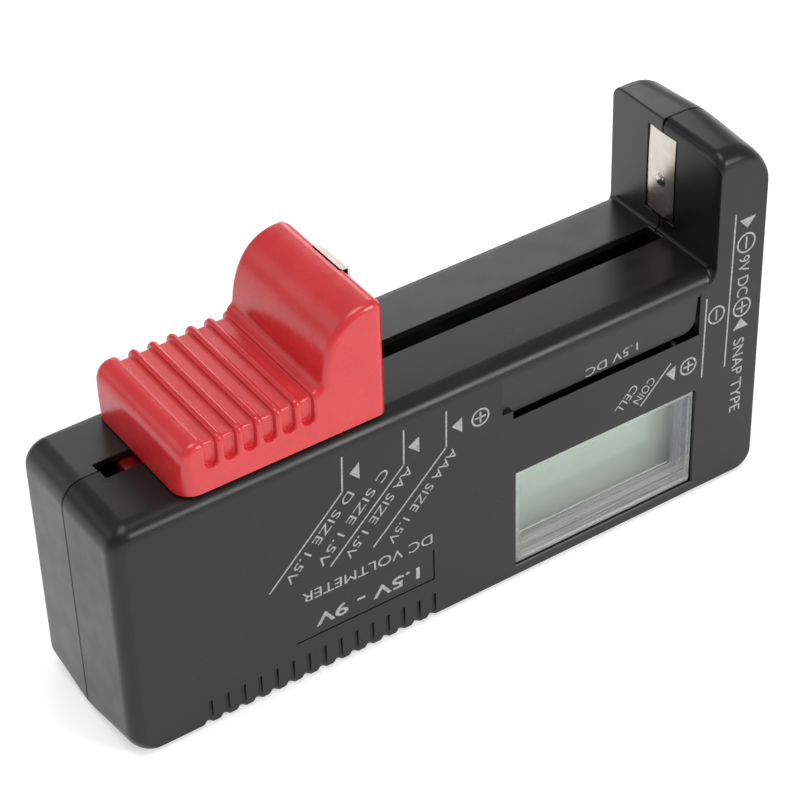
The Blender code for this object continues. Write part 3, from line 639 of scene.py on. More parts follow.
def post_plate():
    """The contact plate on the post: thin sheet, slightly bowed, with a small pressed dimple."""
    y0, y1 = PLATE_SIDES
    middle = (y0 + y1) / 2
    columns, rows = 32, 71
    builder = bmesh.new()

    def face_x(y, z):
        across = 2 * (y - middle) / (y1 - y0)
        upward = (z - PLATE_BOTTOM) / (PLATE_TOP - PLATE_BOTTOM)
        bow = 0.12 * across * across + 0.1 * (2 * upward - 1) ** 2
        reach = math.hypot(y - middle, z - DIMPLE_Z)
        dimple = 0.45 * max(0.0, 1 - (reach / 1.05) ** 2) ** 0.8
        return PLATE_FACE - 0.05 + bow - dimple

    sheets = []
    for thickness in (0.0, SHEET - 0.08):
        sheet = []
        for i in range(rows + 1):
            z = PLATE_BOTTOM + (PLATE_TOP - PLATE_BOTTOM) * i / rows
            ys = [y0 + (y1 - y0) * j / columns for j in range(columns + 1)]
            sheet.append([builder.verts.new((face_x(y, z) + thickness, y, z)) for y in ys])
            if i > 0:
                add_strip(builder, *sheet[-2:])
        sheets.append(sheet)
    near, far = sheets
    for end in (0, -1):
        add_strip(builder, near[end], far[end])
        add_strip(builder, [row[end] for row in near], [row[end] for row in far])
    plate = to_object("post_plate", builder)
    tab = (
        (PLATE_FACE + 0.2, SEAM_Y - TAB_HALF, PLATE_BOTTOM),
        (PLATE_FACE + 5.5, SEAM_Y + TAB_HALF, PLATE_BOTTOM + SHEET),
    )
    join(plate, boxes("post_plate_tab", tab))
    return finish_mesh(plate)


def cross_recess(centre, start, end):
    """A cutter for the cross slot in a screw's head, narrower at its bottom."""
    arm, width = 1.45, 0.62
    rings = []
    for y, share in ((start, 0.55), (end, 1.1)):
        ring = []
        for quarter in range(4):
            turn = math.radians(90 * quarter + 20)
            for a, b in ((width / 2, width / 2), (width / 2, arm), (-width / 2, arm)):
                u = share * (a * math.cos(turn) - b * math.sin(turn))
                v = share * (a * math.sin(turn) + b * math.cos(turn))
                ring.append((centre[0] + u, y, centre[1] + v))
        rings.append(ring)
    return single("cross_recess", add_rings, rings)


def case_screw(number, centre):
    """A countersunk screw with a domed head and a thread."""
    head = REAR - 0.4
    profile = [(-3.5, 0.4), (-3.0, 0.95)]
    along = -3.0
    while along < head - 2.6:
        profile += [(along + 0.25, 1.2), (along + 0.5, 0.95)]
        along += 0.5
    profile += [(head - 1.5, 1.2), (head - 0.25, 2.38), (head - 0.12, 2.4), (head - 0.04, 2.2), (head, 1.6)]
    made = single(f"rear_screw_{number}", add_turned, centre, "y", profile)
    cut(made, cross_recess(centre, head - 1.0, head + 0.5))
    return finish_mesh(made)


def window():
    """The clear window: a raised pane with a bevelled front edge on a flange behind the case's wall."""
    x0, x1, z0, z1 = WINDOW
    builder = bmesh.new()
    rings = []
    for y, inset in (
        (FRONT + 0.45, 1.05), (FRONT + 0.25, 0.85), (FRONT + 0.25, 0.62), (FRONT + 0.5, 0.12),
        (INSIDE_FRONT + 0.3, 0.1), (INSIDE_FRONT + 0.3, -0.75), (INSIDE_FRONT + 1.1, -0.75),
    ):
        a, b, c, d = x0 + inset, x1 - inset, z0 + inset, z1 - inset
        if inset < 0:
            c = 2.35
        r = 0.5
        ring = arc((b - r, d - r), r, 0, 90, 4) + arc((a + r, d - r), r, 90, 180, 4)
        ring += arc((a + r, c + r), r, 180, 270, 4) + arc((b - r, c + r), r, 270, 360, 4)
        rings.append([(x, y, z) for x, z in ring])
    add_rings(builder, rings)
    return finish_mesh(to_object("window", builder), 25.0)


def dress_window_rim(made, material):
    """Puts a second material on the window's sloping rim faces."""
    made.data.materials.append(material)
    for polygon in made.data.polygons:
        ys = [made.data.vertices[v].co.y for v in polygon.vertices]
        if max(ys) - min(ys) > 0.1 * MM and max(ys) < (FRONT + 0.55) * MM:
            polygon.material_index = 1


# ---- printed marks


class Print:
    """Collects the pale printed marks on the front face as one thin mesh."""

    def __init__(self):
        self.builder = bmesh.new()
        self.low = FRONT - 0.012
        self.high = FRONT + 0.02

    def shape(self, outline):
        add_rings(self.builder, [[(x, y, z) for x, z in outline] for y in (self.low, self.high)])

    def line(self, *points, width=0.27):
        """A line of even width through points in X and Z, one four-cornered stroke each."""
        for start, end in zip(points, points[1:]):
            along = (Vector(end) - Vector(start)).normalized() * width / 2
            side = Vector((-along.y, along.x))
            a, b = Vector(start) - along * 0.5, Vector(end) + along * 0.5
            self.shape([a + side, a - side, b - side, b + side])

    def ring(self, centre, radius, width=0.3):
        outer, inner = radius + width / 2, radius - width / 2
        section = ((outer, self.low), (outer, self.high), (inner, self.high), (inner, self.low))
        rings = [[(x, y, z) for x, z in circle(centre, r, 40)] for r, y in section]
        add_rings(self.builder, rings, caps=())

    def sign(self, centre, upward, plus, radius=1.4):
        """A circled minus or plus; upward is the direction of the sign's top."""
        self.ring(centre, radius)
        up = Vector(upward).normalized()
        across = Vector((up.y, -up.x))
        arm, width, middle = 0.62 * radius, 0.3, Vector(centre)
        self.line(middle - across * arm, middle + across * arm, width=width)
        for side in (-up, up) if plus else ():
            self.line(middle + side * width * 0.55, middle + side * arm, width=width)

    def text(self, words, start, reading, size, length, bold=False):
        """Words from start along reading, fitted to a length; start is the first letter's foot."""
        curve = bpy.data.curves.new("lettering", "FONT")
        curve.body = words
        curve.size = size
        curve.offset = 0.05 if bold else 0.0
        curve.resolution_u = 4
        font = add_object("lettering", curve)
        graph = bpy.context.evaluated_depsgraph_get()
        flat = font.evaluated_get(graph).to_mesh()
        left = min(v.co.x for v in flat.vertices)
        stretch = length / (max(v.co.x for v in flat.vertices) - left)
        along = Vector(reading).normalized()
        upward = Vector((-along.y, along.x))
        spots = [Vector(start) + along * (v.co.x - left) * stretch + upward * v.co.y for v in flat.vertices]
        low, high = ([self.builder.verts.new((p.x, y, p.y)) for p in spots] for y in (self.low, self.high))
        edges = {}
        for face in flat.polygons:
            corners = tuple(face.vertices)
            self.builder.faces.new([low[i] for i in corners])
            self.builder.faces.new([high[i] for i in reversed(corners)])
            edges.update(dict.fromkeys(zip(corners, corners[1:] + corners[:1])))
        for i, j in edges:
            if (j, i) not in edges:
                self.builder.faces.new((low[j], low[i], high[i], high[j]))
        font.evaluated_get(graph).to_mesh_clear()
        bpy.data.objects.remove(font)
        bpy.data.curves.remove(curve)


def printed_marks():
    marks = Print()
    down_left = (-1.0, -1.0)
    # one line, arrow and caption for each size of round cell
    marks.line((-19.3, 37.5), (-19.5, 31.4), (-31.95, 19.2))
    marks.line((-9.2, 37.3), (-9.35, 31.3), (-21.95, 19.1))
    marks.line((-2.1, 37.3), (-2.2, 31.0), (-14.8, 18.95))
    marks.shape([(-16.6, 35.4), (-18.2, 34.0), (-16.6, 32.4)])
    marks.shape([(-6.7, 35.1), (-8.55, 34.0), (-6.7, 32.35)])
    marks.shape([(0.55, 35.1), (-1.2, 34.1), (0.55, 32.4)])
    marks.sign((3.65, 33.6), (-1.0, 0.0), True)
    for words, start, length in (
        ("D SIZE 1.5V", (-18.55, 31.15), 15.6), ("C SIZE 1.5V", (-12.7, 32.3), 16.4),
        ("AA SIZE 1.5V", (-8.7, 30.8), 15.6), ("AAA SIZE 1.5V", (-1.15, 30.35), 16.2),
    ):
        marks.text(words, start, down_left, 2.2, length)
    marks.text("DC VOLTMETER", (-4.9, 16.3), (-1.0, 0.0), 2.5, 21.9)
    marks.text("1.5V - 9V", (-7.2, 11.2), (-1.0, 0.0), 3.0, 17.6, bold=True)
    # button cell
    marks.sign((45.96, 32.8), (-1.0, 0.0), False, 1.45)
    marks.line((43.98, 36.5), (43.75, 22.2))
    marks.sign((41.07, 25.5), (-1.0, 0.0), True, 1.4)
    marks.shape([(38.68, 26.74), (36.87, 25.88), (38.5, 24.04)])
    marks.line((37.7, 27.5), (32.35, 22.1))
    marks.text("COIN", (34.0, 26.75), down_left, 2.2, 4.5)
    marks.text("CELL", (30.85, 26.85), down_left, 2.2, 4.8)
    # snap battery
    marks.line((48.6, 49.4), (48.1, 22.3))
    marks.shape([(49.4, 48.1), (50.9, 46.3), (52.4, 48.1)])
    marks.sign((50.85, 43.7), (1.0, 0.0), False, 1.6)
    marks.text("9V DC", (49.7, 41.4), (0.0, -1.0), 2.9, 7.2)
    marks.sign((50.8, 32.1), (1.0, 0.0), True, 1.55)
    marks.shape([(49.3, 28.3), (50.75, 30.1), (52.2, 28.3)])
    marks.text("SNAP TYPE", (49.6, 26.4), (0.0, -1.0), 2.9, 13.8)
    return to_object("printed_marks", marks.builder, 20.0)


def ramp_caption():
    """The caption on the well's sloping tongue."""
    marks = Print()
    marks.text("1.5V DC", (31.7, 34.0), (-1.0, -0.1), 2.3, 9.4)
    for vertex in marks.builder.verts:
        vertex.co.y += tongue_depth(vertex.co.z)
    return to_object("ramp_caption", marks.builder, 20.0)


# ---- materials


class Finish:
    """Builds one node material. Textures are read in object space, in metres."""

    def __init__(self, name, colour, roughness, metallic=0.0):
        self.material = bpy.data.materials.new(name)
        self.material.use_nodes = True
        self.tree = self.material.node_tree
        self.shader = self.tree.nodes["Principled BSDF"]
        self.set("Base Color", (*colour, 1.0)).set("Roughness", roughness).set("Metallic", metallic)
        self.spots = self.node("TexCoord").outputs["Object"]
        self.normal = None

    def set(self, name, value):
        self.shader.inputs[name].default_value = value
        return self

    def feed(self, value, socket):
        """Links an output to a socket, or sets the socket to a number or a colour."""
        if isinstance(value, bpy.types.NodeSocket):
            self.tree.links.new(value, socket)
        else:
            socket.default_value = (*value, 1.0) if isinstance(value, tuple) else value

    def node(self, kind, **inputs):
        """Adds a node and feeds its inputs, where _ in a name stands for a space."""
        made = self.tree.nodes.new("ShaderNode" + kind)
        for name, value in inputs.items():
            self.feed(value, made.inputs[name.replace("_", " ")])
        return made

    def stretched(self, stretch):
        mapping = self.node("Mapping", Vector=self.spots)
        mapping.inputs["Scale"].default_value = stretch
        return mapping.outputs["Vector"]

    def noise(self, size_mm, detail=3.0, stretch=(1.0, 1.0, 1.0)):
        """Noise whose features are about size_mm across."""
        spots, scale = self.stretched(stretch), 1.0 / (size_mm * MM)
        return self.node("TexNoise", Vector=spots, Scale=scale, Detail=detail, Roughness=0.55).outputs["Fac"]

    def cells(self, size_mm, feature="F1"):
        texture = self.node("TexVoronoi", Vector=self.stretched((1.0, 1.0, 1.0)), Scale=1.0 / (size_mm * MM))
        texture.feature = feature
        return texture.outputs["Distance"]

    def spread(self, source, low_in, high_in, low_out=0.0, high_out=1.0):
        scale = self.node("MapRange", Value=source, From_Min=low_in, From_Max=high_in)
        self.feed(low_out, scale.inputs["To Min"])
        self.feed(high_out, scale.inputs["To Max"])
        return scale.outputs["Result"]

    def along(self, axis, start_mm, end_mm, low_out=0.0, high_out=1.0):
        """A ramp between two places on an axis of the object."""
        place_on_axis = self.node("SeparateXYZ", Vector=self.spots).outputs[axis]
        return self.spread(place_on_axis, start_mm * MM, end_mm * MM, low_out, high_out)

    def math(self, operation, first, second):
        node = self.node("Math")
        node.operation = operation
        self.feed(first, node.inputs[0])
        self.feed(second, node.inputs[1])
        return node.outputs["Value"]

    def mix(self, share, first, second):
        """A colour between first and second, each a colour or a socket."""
        node = self.node("Mix")
        node.data_type = "RGBA"
        for number, value in ((0, share), (6, first), (7, second)):
            self.feed(value, node.inputs[number])
        return node.outputs[2]

    def paint(self, source):
        self.feed(source, self.shader.inputs["Base Color"])

    def vary_roughness(self, source, low, high):
        self.feed(self.spread(source, 0.3, 0.7, low, high), self.shader.inputs["Roughness"])

    def bump(self, height, distance_mm, strength=1.0):
        node = self.node("Bump", Strength=strength, Distance=distance_mm * MM, Height=height)
        if self.normal is not None:
            self.feed(self.normal, node.inputs["Normal"])
        self.normal = node.outputs["Normal"]
        self.feed(self.normal, self.shader.inputs["Normal"])

    def blend(self, share, under, over):
        """Makes the surface a mix of two shaders, where share is how much of it is over."""
        mixer = self.node("MixShader", Fac=share)
        self.feed(under, mixer.inputs[1])
        self.feed(over, mixer.inputs[2])
        self.feed(mixer.outputs["Shader"], self.tree.nodes["Material Output"].inputs["Surface"])
        return mixer.outputs["Shader"]

    def edges(self, radius_mm):
        """1 along sharp edges and 0 on flat faces, from how far a rounded normal turns away."""
        rounded = self.node("Bevel", Radius=radius_mm * MM)
        rounded.samples = 4
        dot = self.node("VectorMath")
        dot.operation = "DOT_PRODUCT"
        self.feed(rounded.outputs["Normal"], dot.inputs[0])
        self.feed(self.node("NewGeometry").outputs["Normal"], dot.inputs[1])
        return self.spread(self.math("SUBTRACT", 1.0, dot.outputs["Value"]), 0.004, 0.12)


def moulded_black(name, base, rough_low, rough_high, grain, sheen):
    """Black ABS: fine spark texture, faint flow marks, dust specks and lighter worn edges."""
    finish = Finish(name, base, rough_low).set("Specular IOR Level", sheen)
    darker, worn, dusty = (tuple(factor * c for c in base) for factor in (0.8, 2.6, 5.0))
    flow = finish.noise(14.0, 3.0, (1.0, 1.0, 2.2))
    body = finish.mix(finish.spread(flow, 0.3, 0.7), darker, base)
    patches = finish.spread(finish.noise(2.5), 0.4, 0.65, 0.0, 0.55)
    body = finish.mix(finish.math("MULTIPLY", finish.edges(0.35), patches), body, worn)
    dust = finish.spread(finish.cells(1.9), 0.05, 0.09, 1.0, 0.0)
    finish.paint(finish.mix(finish.math("MULTIPLY", dust, 0.35), body, dusty))
    finish.vary_roughness(finish.noise(3.5, 4.0), rough_low, rough_high)
    finish.bump(finish.noise(grain, 2.0), 0.012, 0.35)
    finish.bump(finish.noise(9.0, 1.0), 0.02, 0.25)
    return finish.material


def moulded_red(name, base, deep):
    """Glossy red plastic: faint waves, slightly deeper colour in patches and a little light inside it."""
    finish = Finish(name, base, 0.24).set("Specular IOR Level", 0.65)
    body = finish.mix(finish.spread(finish.noise(6.0), 0.35, 0.65), deep, base)
    patches = finish.spread(finish.noise(1.5), 0.4, 0.65, 0.0, 0.4)
    finish.paint(finish.mix(finish.math("MULTIPLY", finish.edges(0.3), patches), body, (0.78, 0.09, 0.1)))
    finish.vary_roughness(finish.noise(2.2, 4.0), 0.2, 0.3)
    finish.bump(finish.noise(0.35, 2.0), 0.01, 0.2)
    finish.bump(finish.noise(5.0, 1.0), 0.03, 0.3)
    finish.set("Subsurface Weight", 0.06).set("Subsurface Radius", (0.6, 0.06, 0.04))
    finish.set("Subsurface Scale", MM)
    return finish.material


def brushed_nickel(name, stretch=(1.0, 0.2, 1.0)):
    """Nickel-plated sheet: fine lines from rolling and stains."""
    base, stained = (0.66, 0.63, 0.58), (0.4884, 0.4347, 0.348)
    finish = Finish(name, base, 0.19, 1.0)
    finish.paint(finish.mix(finish.spread(finish.noise(1.8, 5.0), 0.35, 0.7, 0.0, 0.5), base, stained))
    finish.vary_roughness(finish.noise(1.2, 4.0, stretch), 0.19, 0.27)
    finish.bump(finish.noise(0.3, 3.0, stretch), 0.0008, 0.15)
    return finish.material


def turned_steel():
    finish = Finish("turned_steel", (0.42, 0.42, 0.43), 0.3, 1.0)
    patches = finish.spread(finish.noise(0.8, 4.0), 0.35, 0.65)
    finish.paint(finish.mix(patches, (0.3, 0.3, 0.31), (0.5, 0.5, 0.5)))
    finish.vary_roughness(finish.noise(0.3, 3.0), 0.22, 0.42)
    finish.bump(finish.noise(0.12, 2.0), 0.008, 0.4)
    return finish.material


def spring_bronze():
    base = (0.72, 0.46, 0.24)
    finish = Finish("bronze_strip", base, 0.28, 1.0)
    stains = finish.spread(finish.noise(1.2, 4.0), 0.4, 0.7, 0.0, 0.7)
    finish.paint(finish.mix(stains, base, (0.42, 0.25, 0.14)))
    finish.vary_roughness(finish.noise(0.4, 3.0), 0.22, 0.4)
    return finish.material


def clear_acrylic(name, tint):
    """Clear acrylic: what is behind shows through unbent, and both faces mirror more at a slant."""
    finish = Finish(name, (0.9, 0.92, 0.9), 0.05, 1.0)
    facing = finish.node("LayerWeight", Blend=0.5).outputs["Facing"]
    mirrored = finish.spread(finish.math("POWER", facing, 5.0), 0.0, 1.0, 0.04, 1.0)
    seen = finish.math("ADD", mirrored, finish.spread(finish.noise(3.0, 5.0), 0.45, 0.75, 0.0, 0.02))
    finish.vary_roughness(finish.noise(1.5, 4.0), 0.03, 0.1)
    finish.bump(finish.noise(7.0, 1.0), 0.01, 0.3)
    finish.paint(finish.mix(finish.noise(4.0), (0.75, 0.78, 0.75), (0.85, 0.88, 0.86)))
    clear = finish.node("BsdfTransparent", Color=tint).outputs["BSDF"]
    return finish, finish.blend(seen, clear, finish.shader.outputs["BSDF"])


def clear_window():
    """The window with painted refraction: long painted streaks where its thick foot and right end bend
    light, a painted glint line along the top of the foot, and a painted bluish band at the right end.
    """
    finish, clear = clear_acrylic("clear_window", (0.985, 0.99, 0.985))
    # Painted refraction streaks in the foot, below VEIL_TOP, and in the right end, past VEIL_LEFT
    streaks = finish.spread(finish.noise(0.4, 3.0, (0.02, 1.0, 1.0)), 0.35, 0.65, 0.3, 0.7)
    foot = finish.math("MULTIPLY", finish.along("Z", VEIL_TOP, VEIL_TOP - 0.5), streaks)
    in_end = finish.along("X", VEIL_LEFT, VEIL_LEFT + 0.7)
    streaks = finish.spread(finish.noise(0.5, 3.0, (1.0, 1.0, 0.02)), 0.35, 0.65, 0.3, 0.55)
    end = finish.math("MULTIPLY", in_end, streaks)
    # Painted glint: a thin bright line along the top of the foot's streaks
    painted_glint = finish.math(
        "MULTIPLY", finish.along("Z", VEIL_TOP - PAINTED_GLINT_HALF, VEIL_TOP),
        finish.along("Z", VEIL_TOP + PAINTED_GLINT_HALF, VEIL_TOP, 0.0, 0.9),
    )
    painted_glint = finish.math("MULTIPLY", painted_glint, finish.along("X", VEIL_LEFT, VEIL_LEFT - 0.3))
    veil = finish.math("MAXIMUM", finish.math("MAXIMUM", foot, end), painted_glint)
    veil = finish.math("MULTIPLY", veil, finish.along("Y", FRONT + 0.8, FRONT + 0.9, 1.0, 0.0))
    # Painted streak tones: darker at the top of the foot and paler towards the window's lower edge, with a
    # painted bluish band at the right end
    painted_streak_tones = finish.mix(finish.along("Z", VEIL_TOP, WINDOW[2]), (0.24, 0.245, 0.24), (0.52, 0.51, 0.48))
    painted_blue_band = finish.math("MULTIPLY", in_end, finish.along("Z", VEIL_TOP, VEIL_TOP + 1.5, 0.25, 1.0))
    painted_streak_tones = finish.mix(painted_glint, finish.mix(painted_blue_band, painted_streak_tones, (0.2, 0.22, 0.27)), (0.6, 0.66, 0.6))
    finish.blend(veil, clear, finish.node("BsdfPrincipled", Roughness=0.3, Base_Color=painted_streak_tones).outputs["BSDF"])
    return finish.material


def window_rim():
    """The window's bevelled faces: half clear, half a pale grey that is painted highlight for the light they
    catch.
    """
    finish = Finish("window_rim", (0.62, 0.64, 0.63), 0.22)
    finish.paint(finish.mix(finish.noise(1.2, 4.0, (0.2, 1.0, 1.0)), (0.34, 0.36, 0.36), (0.74, 0.75, 0.73)))
    finish.vary_roughness(finish.noise(0.8), 0.15, 0.3)
    finish.blend(0.55, finish.node("BsdfTransparent").outputs["BSDF"], finish.shader.outputs["BSDF"])
    return finish.material


def display_glass():
    """The display's glass: nearly clear, with a faint green cast."""
    return clear_acrylic("display_glass", (0.95, 0.965, 0.95))[0].material


def speckled(name, first, second, size_mm, roughness):
    """A general finish: two tones in patches, uneven gloss and a fine grain."""
    finish = Finish(name, first, roughness)
    finish.paint(finish.mix(finish.spread(finish.noise(size_mm, 4.0), 0.35, 0.65), first, second))
    finish.vary_roughness(finish.noise(size_mm / 2, 3.0), roughness - 0.06, roughness + 0.08)
    finish.bump(finish.noise(0.25, 2.0), 0.01, 0.3)
    return finish.material


def board_green():
    """Green solder mask with the faint relief of the copper tracks under it."""
    finish = Finish("board_green", (0.03, 0.16, 0.06), 0.35)
    tracks = finish.spread(finish.cells(2.6, "DISTANCE_TO_EDGE"), 0.05, 0.09, 1.0, 0.0)
    finish.paint(finish.mix(tracks, (0.02, 0.12, 0.045), (0.05, 0.24, 0.09)))
    finish.vary_roughness(finish.noise(1.0, 3.0), 0.28, 0.4)
    finish.bump(tracks, 0.03, 0.5)
    return finish.material


def display_backing():
    """The grey-green reflector behind the glass: grained foil. Its foot and right end, which lie in the
    case's
    shade, are painted paler: painted light that offsets the shade there."""
    finish = Finish("display_backing", (0.38, 0.44, 0.38), 0.55)
    grain = finish.noise(0.12, 2.0)
    # Masks for the painted light at the reflector's foot and at its right end
    low = finish.along("Z", REFLECTOR_FOOT + 1.5, REFLECTOR_FOOT + 8.0, 1.0, 0.0)
    right_end_painted_paler = finish.along("X", REFLECTOR_RIGHT - 10.0, REFLECTOR_RIGHT)
    patches = finish.mix(finish.noise(9.0, 2.0), (0.6, 0.705, 0.635), (0.68, 0.76, 0.685))
    patches = finish.mix(finish.math("MAXIMUM", low, right_end_painted_paler), patches, (0.92, 0.97, 0.9))
    finish.paint(finish.mix(finish.spread(grain, 0.3, 0.7, 0.0, 0.15), patches, (0.34, 0.4, 0.35)))
    finish.vary_roughness(finish.noise(0.8, 2.0), 0.5, 0.62)
    finish.bump(grain, 0.01, 0.2)
    return finish.material


def frame_white():
    """The display frame's pale grey plastic, with fine drag marks along it."""
    finish = Finish("frame_white", (0.8, 0.8, 0.78), 0.4)
    drag = finish.noise(0.35, 3.0, (0.03, 1.0, 1.0))
    finish.paint(finish.mix(finish.spread(drag, 0.38, 0.62), (0.6, 0.61, 0.61), (0.92, 0.92, 0.87)))
    finish.vary_roughness(finish.noise(1.5, 3.0), 0.35, 0.5)
    finish.bump(drag, 0.02, 0.3)
    return finish.material


def printed_ink():
    finish = Finish("printed_ink", (0.5, 0.5, 0.49), 0.5)
    worn = finish.spread(finish.noise(0.35, 4.0), 0.35, 0.6)
    finish.paint(finish.mix(worn, (0.24, 0.24, 0.24), (0.43, 0.43, 0.42)))
    finish.vary_roughness(finish.noise(0.3), 0.42, 0.6)
    finish.bump(finish.noise(0.1, 2.0), 0.006, 0.4)
    return finish.material


# ---- putting it together


def dress(piece, material):
    piece.data.materials.clear()
    piece.data.materials.append(material)
    return piece


def dress_node(name, material, eased_mm):
    """Gives a CAD node its finish and, for sheet metal and the like, softened edges."""
    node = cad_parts[name]
    if not node.material_slots:
        node.data.materials.append(material)
    for slot in node.material_slots:
        slot.material = material
    if eased_mm:
        node.modifiers.new("weld", "WELD").merge_threshold = 1e-6
        bevel = node.modifiers.new("eased_edges", "BEVEL")
        bevel.width = eased_mm * MM
        bevel.segments = 3
        bevel.limit_method = "ANGLE"
        bevel.angle_limit = math.radians(40)
        node.modifiers.new("flat_faces_stay_flat", "WEIGHTED_NORMAL").keep_sharp = True


def build_pieces():
    # One black plastic in two copies: the front half's darker base colour is painted shade and the rear
    # half's lighter base colour is painted light. The rear copy also has a higher specular level.
    black_front_shaded = moulded_black("moulded_black_front", (0.0095, 0.0092, 0.0092), 0.27, 0.35, 0.16, 0.38)
    black_rear_lit = moulded_black("moulded_black_rear", (0.0125, 0.0122, 0.012), 0.3, 0.38, 0.18, 0.62)
    red = moulded_red("moulded_red", (0.68, 0.03, 0.035), (0.62, 0.022, 0.028))
    nickel, steel = brushed_nickel("nickel_plate"), turned_steel()
    ink = printed_ink()
    for piece, material, slot, node in (
        (front_case(), black_front_shaded, "black_plastic", "front_shell"),
        (rear_case(), black_rear_lit, "black_plastic", "rear_shell"),
        (post_plate(), nickel, "nickel", "post_contact"),
        (window(), clear_window(), "clear_acrylic", "display_window"),
    ):
        dress(piece, material)
        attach(piece, "case")
        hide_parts(node)
    for number, centre in enumerate(CASE_SCREWS, 1):
        made = dress(case_screw(number, centre), steel)
        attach(made, "case")
        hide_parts(f"case_screw_{number}")
    dress_window_rim(bpy.data.objects["window"], window_rim())
    for marks in (printed_marks(), ramp_caption()):
        dress(marks, ink)
        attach(marks, "case")
    body = dress(clamp(), red)
    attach(body, "slider")
    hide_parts("slider")
    dress_nodes(nickel, steel)


def dress_nodes(nickel, steel):
    """Finishes for the CAD nodes that stay."""
    sheet = brushed_nickel("nickel_strip", (0.05, 1.0, 1.0))
    # The keeper is the slider's red plastic. This much darker copy is painted shade for where it sits down
    # in the slot.
    keeper_red_painted_shade = moulded_red("moulded_red_painted_shade", (0.2, 0.008, 0.01), (0.15, 0.006, 0.008))
    for material, eased_mm, names in (
        (keeper_red_painted_shade, 0.0, "slider_keeper"), (sheet, 0.06, "slider_contact"),
        (sheet, 0.05, "contact_rail"), (spring_bronze(), 0.05, "slider_wiper"),
        (nickel, 0.06, "nine_volt_contact_negative nine_volt_contact_positive"),
        (nickel, 0.04, "mini_cell_contact_positive mini_cell_contact_negative"),
        (display_glass(), 0.05, "lcd_panel"), (display_backing(), 0.0, "lcd_reflector"),
        (frame_white(), 0.1, "lcd_frame"), (board_green(), 0.0, "main_board"),
        (speckled("zebra_rubber", (0.1, 0.1, 0.1), (0.16, 0.16, 0.165), 0.4, 0.6), 0.05, "zebra_strip"),
        (steel, 0.0, "board_screw_1 board_screw_2 keeper_screw_1 keeper_screw_2"),
    ):
        for name in names.split():
            dress_node(name, material, eased_mm)
    black_wires = "wire_contact_rail wire_mini_cell_negative wire_nine_volt_negative wire_post_contact"
    for finish, first, second, size_mm, roughness, names in (
        ("epoxy_black", (0.012, 0.012, 0.013), (0.022, 0.022, 0.022), 1.5, 0.3, "chip_blob"),
        ("ferrite_grey", (0.05, 0.05, 0.055), (0.08, 0.08, 0.08), 0.8, 0.6, "inductor"),
        ("capacitor_sleeve", (0.02, 0.05, 0.2), (0.03, 0.07, 0.26), 2.0, 0.35, "capacitor"),
        ("resistor_paint", (0.55, 0.42, 0.25), (0.48, 0.35, 0.2), 0.8, 0.45,
         "load_resistor_1v5 load_resistor_9v series_resistor"),
        ("diode_glass", (0.03, 0.03, 0.03), (0.06, 0.05, 0.045), 0.8, 0.28, "diode"),
        ("wire_black_sleeve", (0.015, 0.015, 0.016), (0.025, 0.025, 0.026), 2.0, 0.42, black_wires),
        ("wire_red_sleeve", (0.5, 0.02, 0.02), (0.4, 0.012, 0.014), 2.0, 0.4,
         "wire_mini_cell_positive wire_nine_volt_positive"),
    ):
        material = speckled(finish, first, second, size_mm, roughness)
        for name in names.split():
            dress_node(name, material, 0.0)


# ---- stage


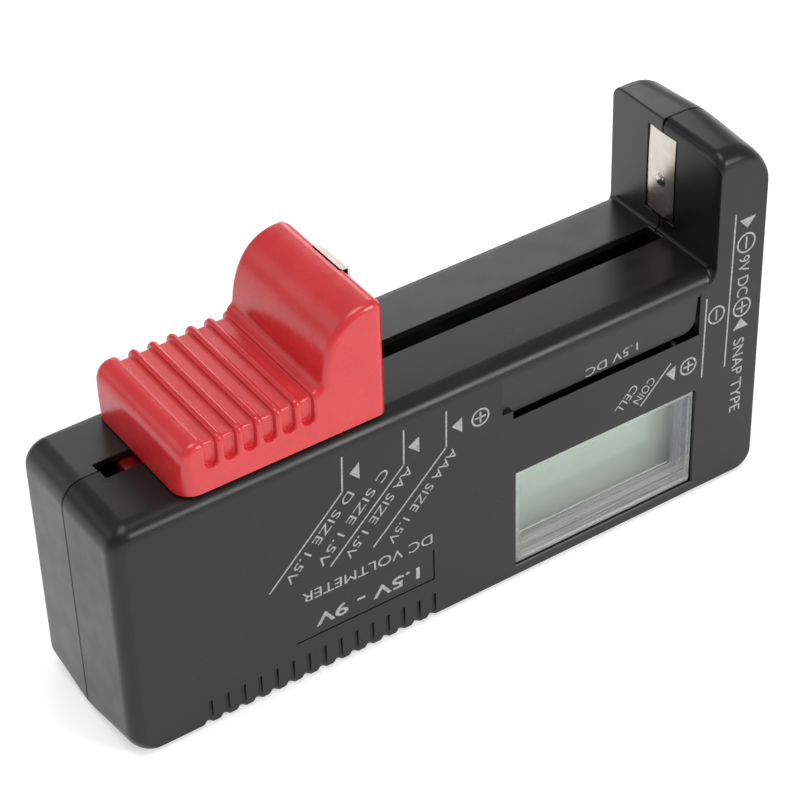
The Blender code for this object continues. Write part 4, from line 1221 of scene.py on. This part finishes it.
def floor():
    """A pale floor that rises gently all round, like a paper sweep, and glows a little."""
    flat, rise = 600.0, 900.0
    stations = [(flat * i / 4, 0.0) for i in range(1, 5)]
    for turn in turns(6, 24, 3):
        stations.append((flat + rise * math.sin(turn), rise * (1 - math.cos(turn))))
    rings = [[(x, y, z - 0.05) for x, y in circle((0.0, 0.0), r, 64)] for r, z in stations]
    builder = bmesh.new()
    add_rings(builder, rings, caps=(0,))
    made = to_object("floor", builder)
    for polygon in made.data.polygons:
        if polygon.normal.z < 0:
            polygon.flip()
    finish = Finish("paper_white", (0.8, 0.8, 0.8), 0.8)
    finish.paint(finish.mix(finish.noise(60.0), (0.79, 0.79, 0.79), (0.81, 0.81, 0.81)))
    finish.set("Emission Color", (1.0, 1.0, 1.0, 1.0)).set("Emission Strength", FLOOR_GLOW)
    made.data.materials.append(finish.material)


def area_light(name, position, size, radiance):
    """A soft box at position, in millimetres, that faces the tester; radiance is what a mirror sees."""
    data = bpy.data.lights.new(name, "AREA")
    data.shape = "RECTANGLE"
    data.size, data.size_y = (s * MM for s in size)
    data.energy = radiance * math.pi * data.size * data.size_y
    made = add_object(name, data)
    away = Vector(position) - Vector((0.0, 0.0, TOP / 2))
    made.location = Vector(position) * MM
    made.rotation_euler = away.to_track_quat("Z", "Y").to_euler()


def lights():
    area_light("softbox_front", (430, -790, 530), (340, 400), 9.2)
    area_light("softbox_back", (430, 760, 480), (420, 260), 3.5)
    area_light("softbox_left", (-700, 500, 500), (600, 400), 0.6)
    area_light("overhead", (-80, -60, 1000), (500, 500), 4.2)
    world = bpy.data.worlds.new("studio")
    bpy.context.scene.world = world
    world.use_nodes = True
    background = world.node_tree.nodes["Background"]
    background.inputs["Color"].default_value = (1.0, 1.0, 1.0, 1.0)
    background.inputs["Strength"].default_value = WORLD_STRENGTH


def camera():
    azimuth, elevation, roll = (math.radians(a) for a in (CAMERA_AZIMUTH, CAMERA_ELEVATION, CAMERA_ROLL))
    back = Vector((math.sin(azimuth), -math.cos(azimuth), math.tan(elevation))).normalized()
    level = Vector((math.cos(azimuth), math.sin(azimuth), 0.0))
    upright = back.cross(level)
    right = level * math.cos(roll) + upright * math.sin(roll)
    up = upright * math.cos(roll) - level * math.sin(roll)
    target = Vector((0.0, 0.0, TOP / 2)) + right * CAMERA_SHIFT[0] + up * CAMERA_SHIFT[1]
    data = bpy.data.cameras.new("camera")
    data.lens = CAMERA_LENS
    data.sensor_width = 36.0
    data.clip_start = 0.02
    made = add_object("camera", data)
    turn = Matrix((right, up, back)).transposed().to_4x4()
    made.matrix_world = Matrix.Translation((target + back * CAMERA_DISTANCE) * MM) @ turn
    bpy.context.scene.camera = made


camera()
build_pieces()
floor()
lights()
bpy.context.scene.view_settings.view_transform = "Standard"
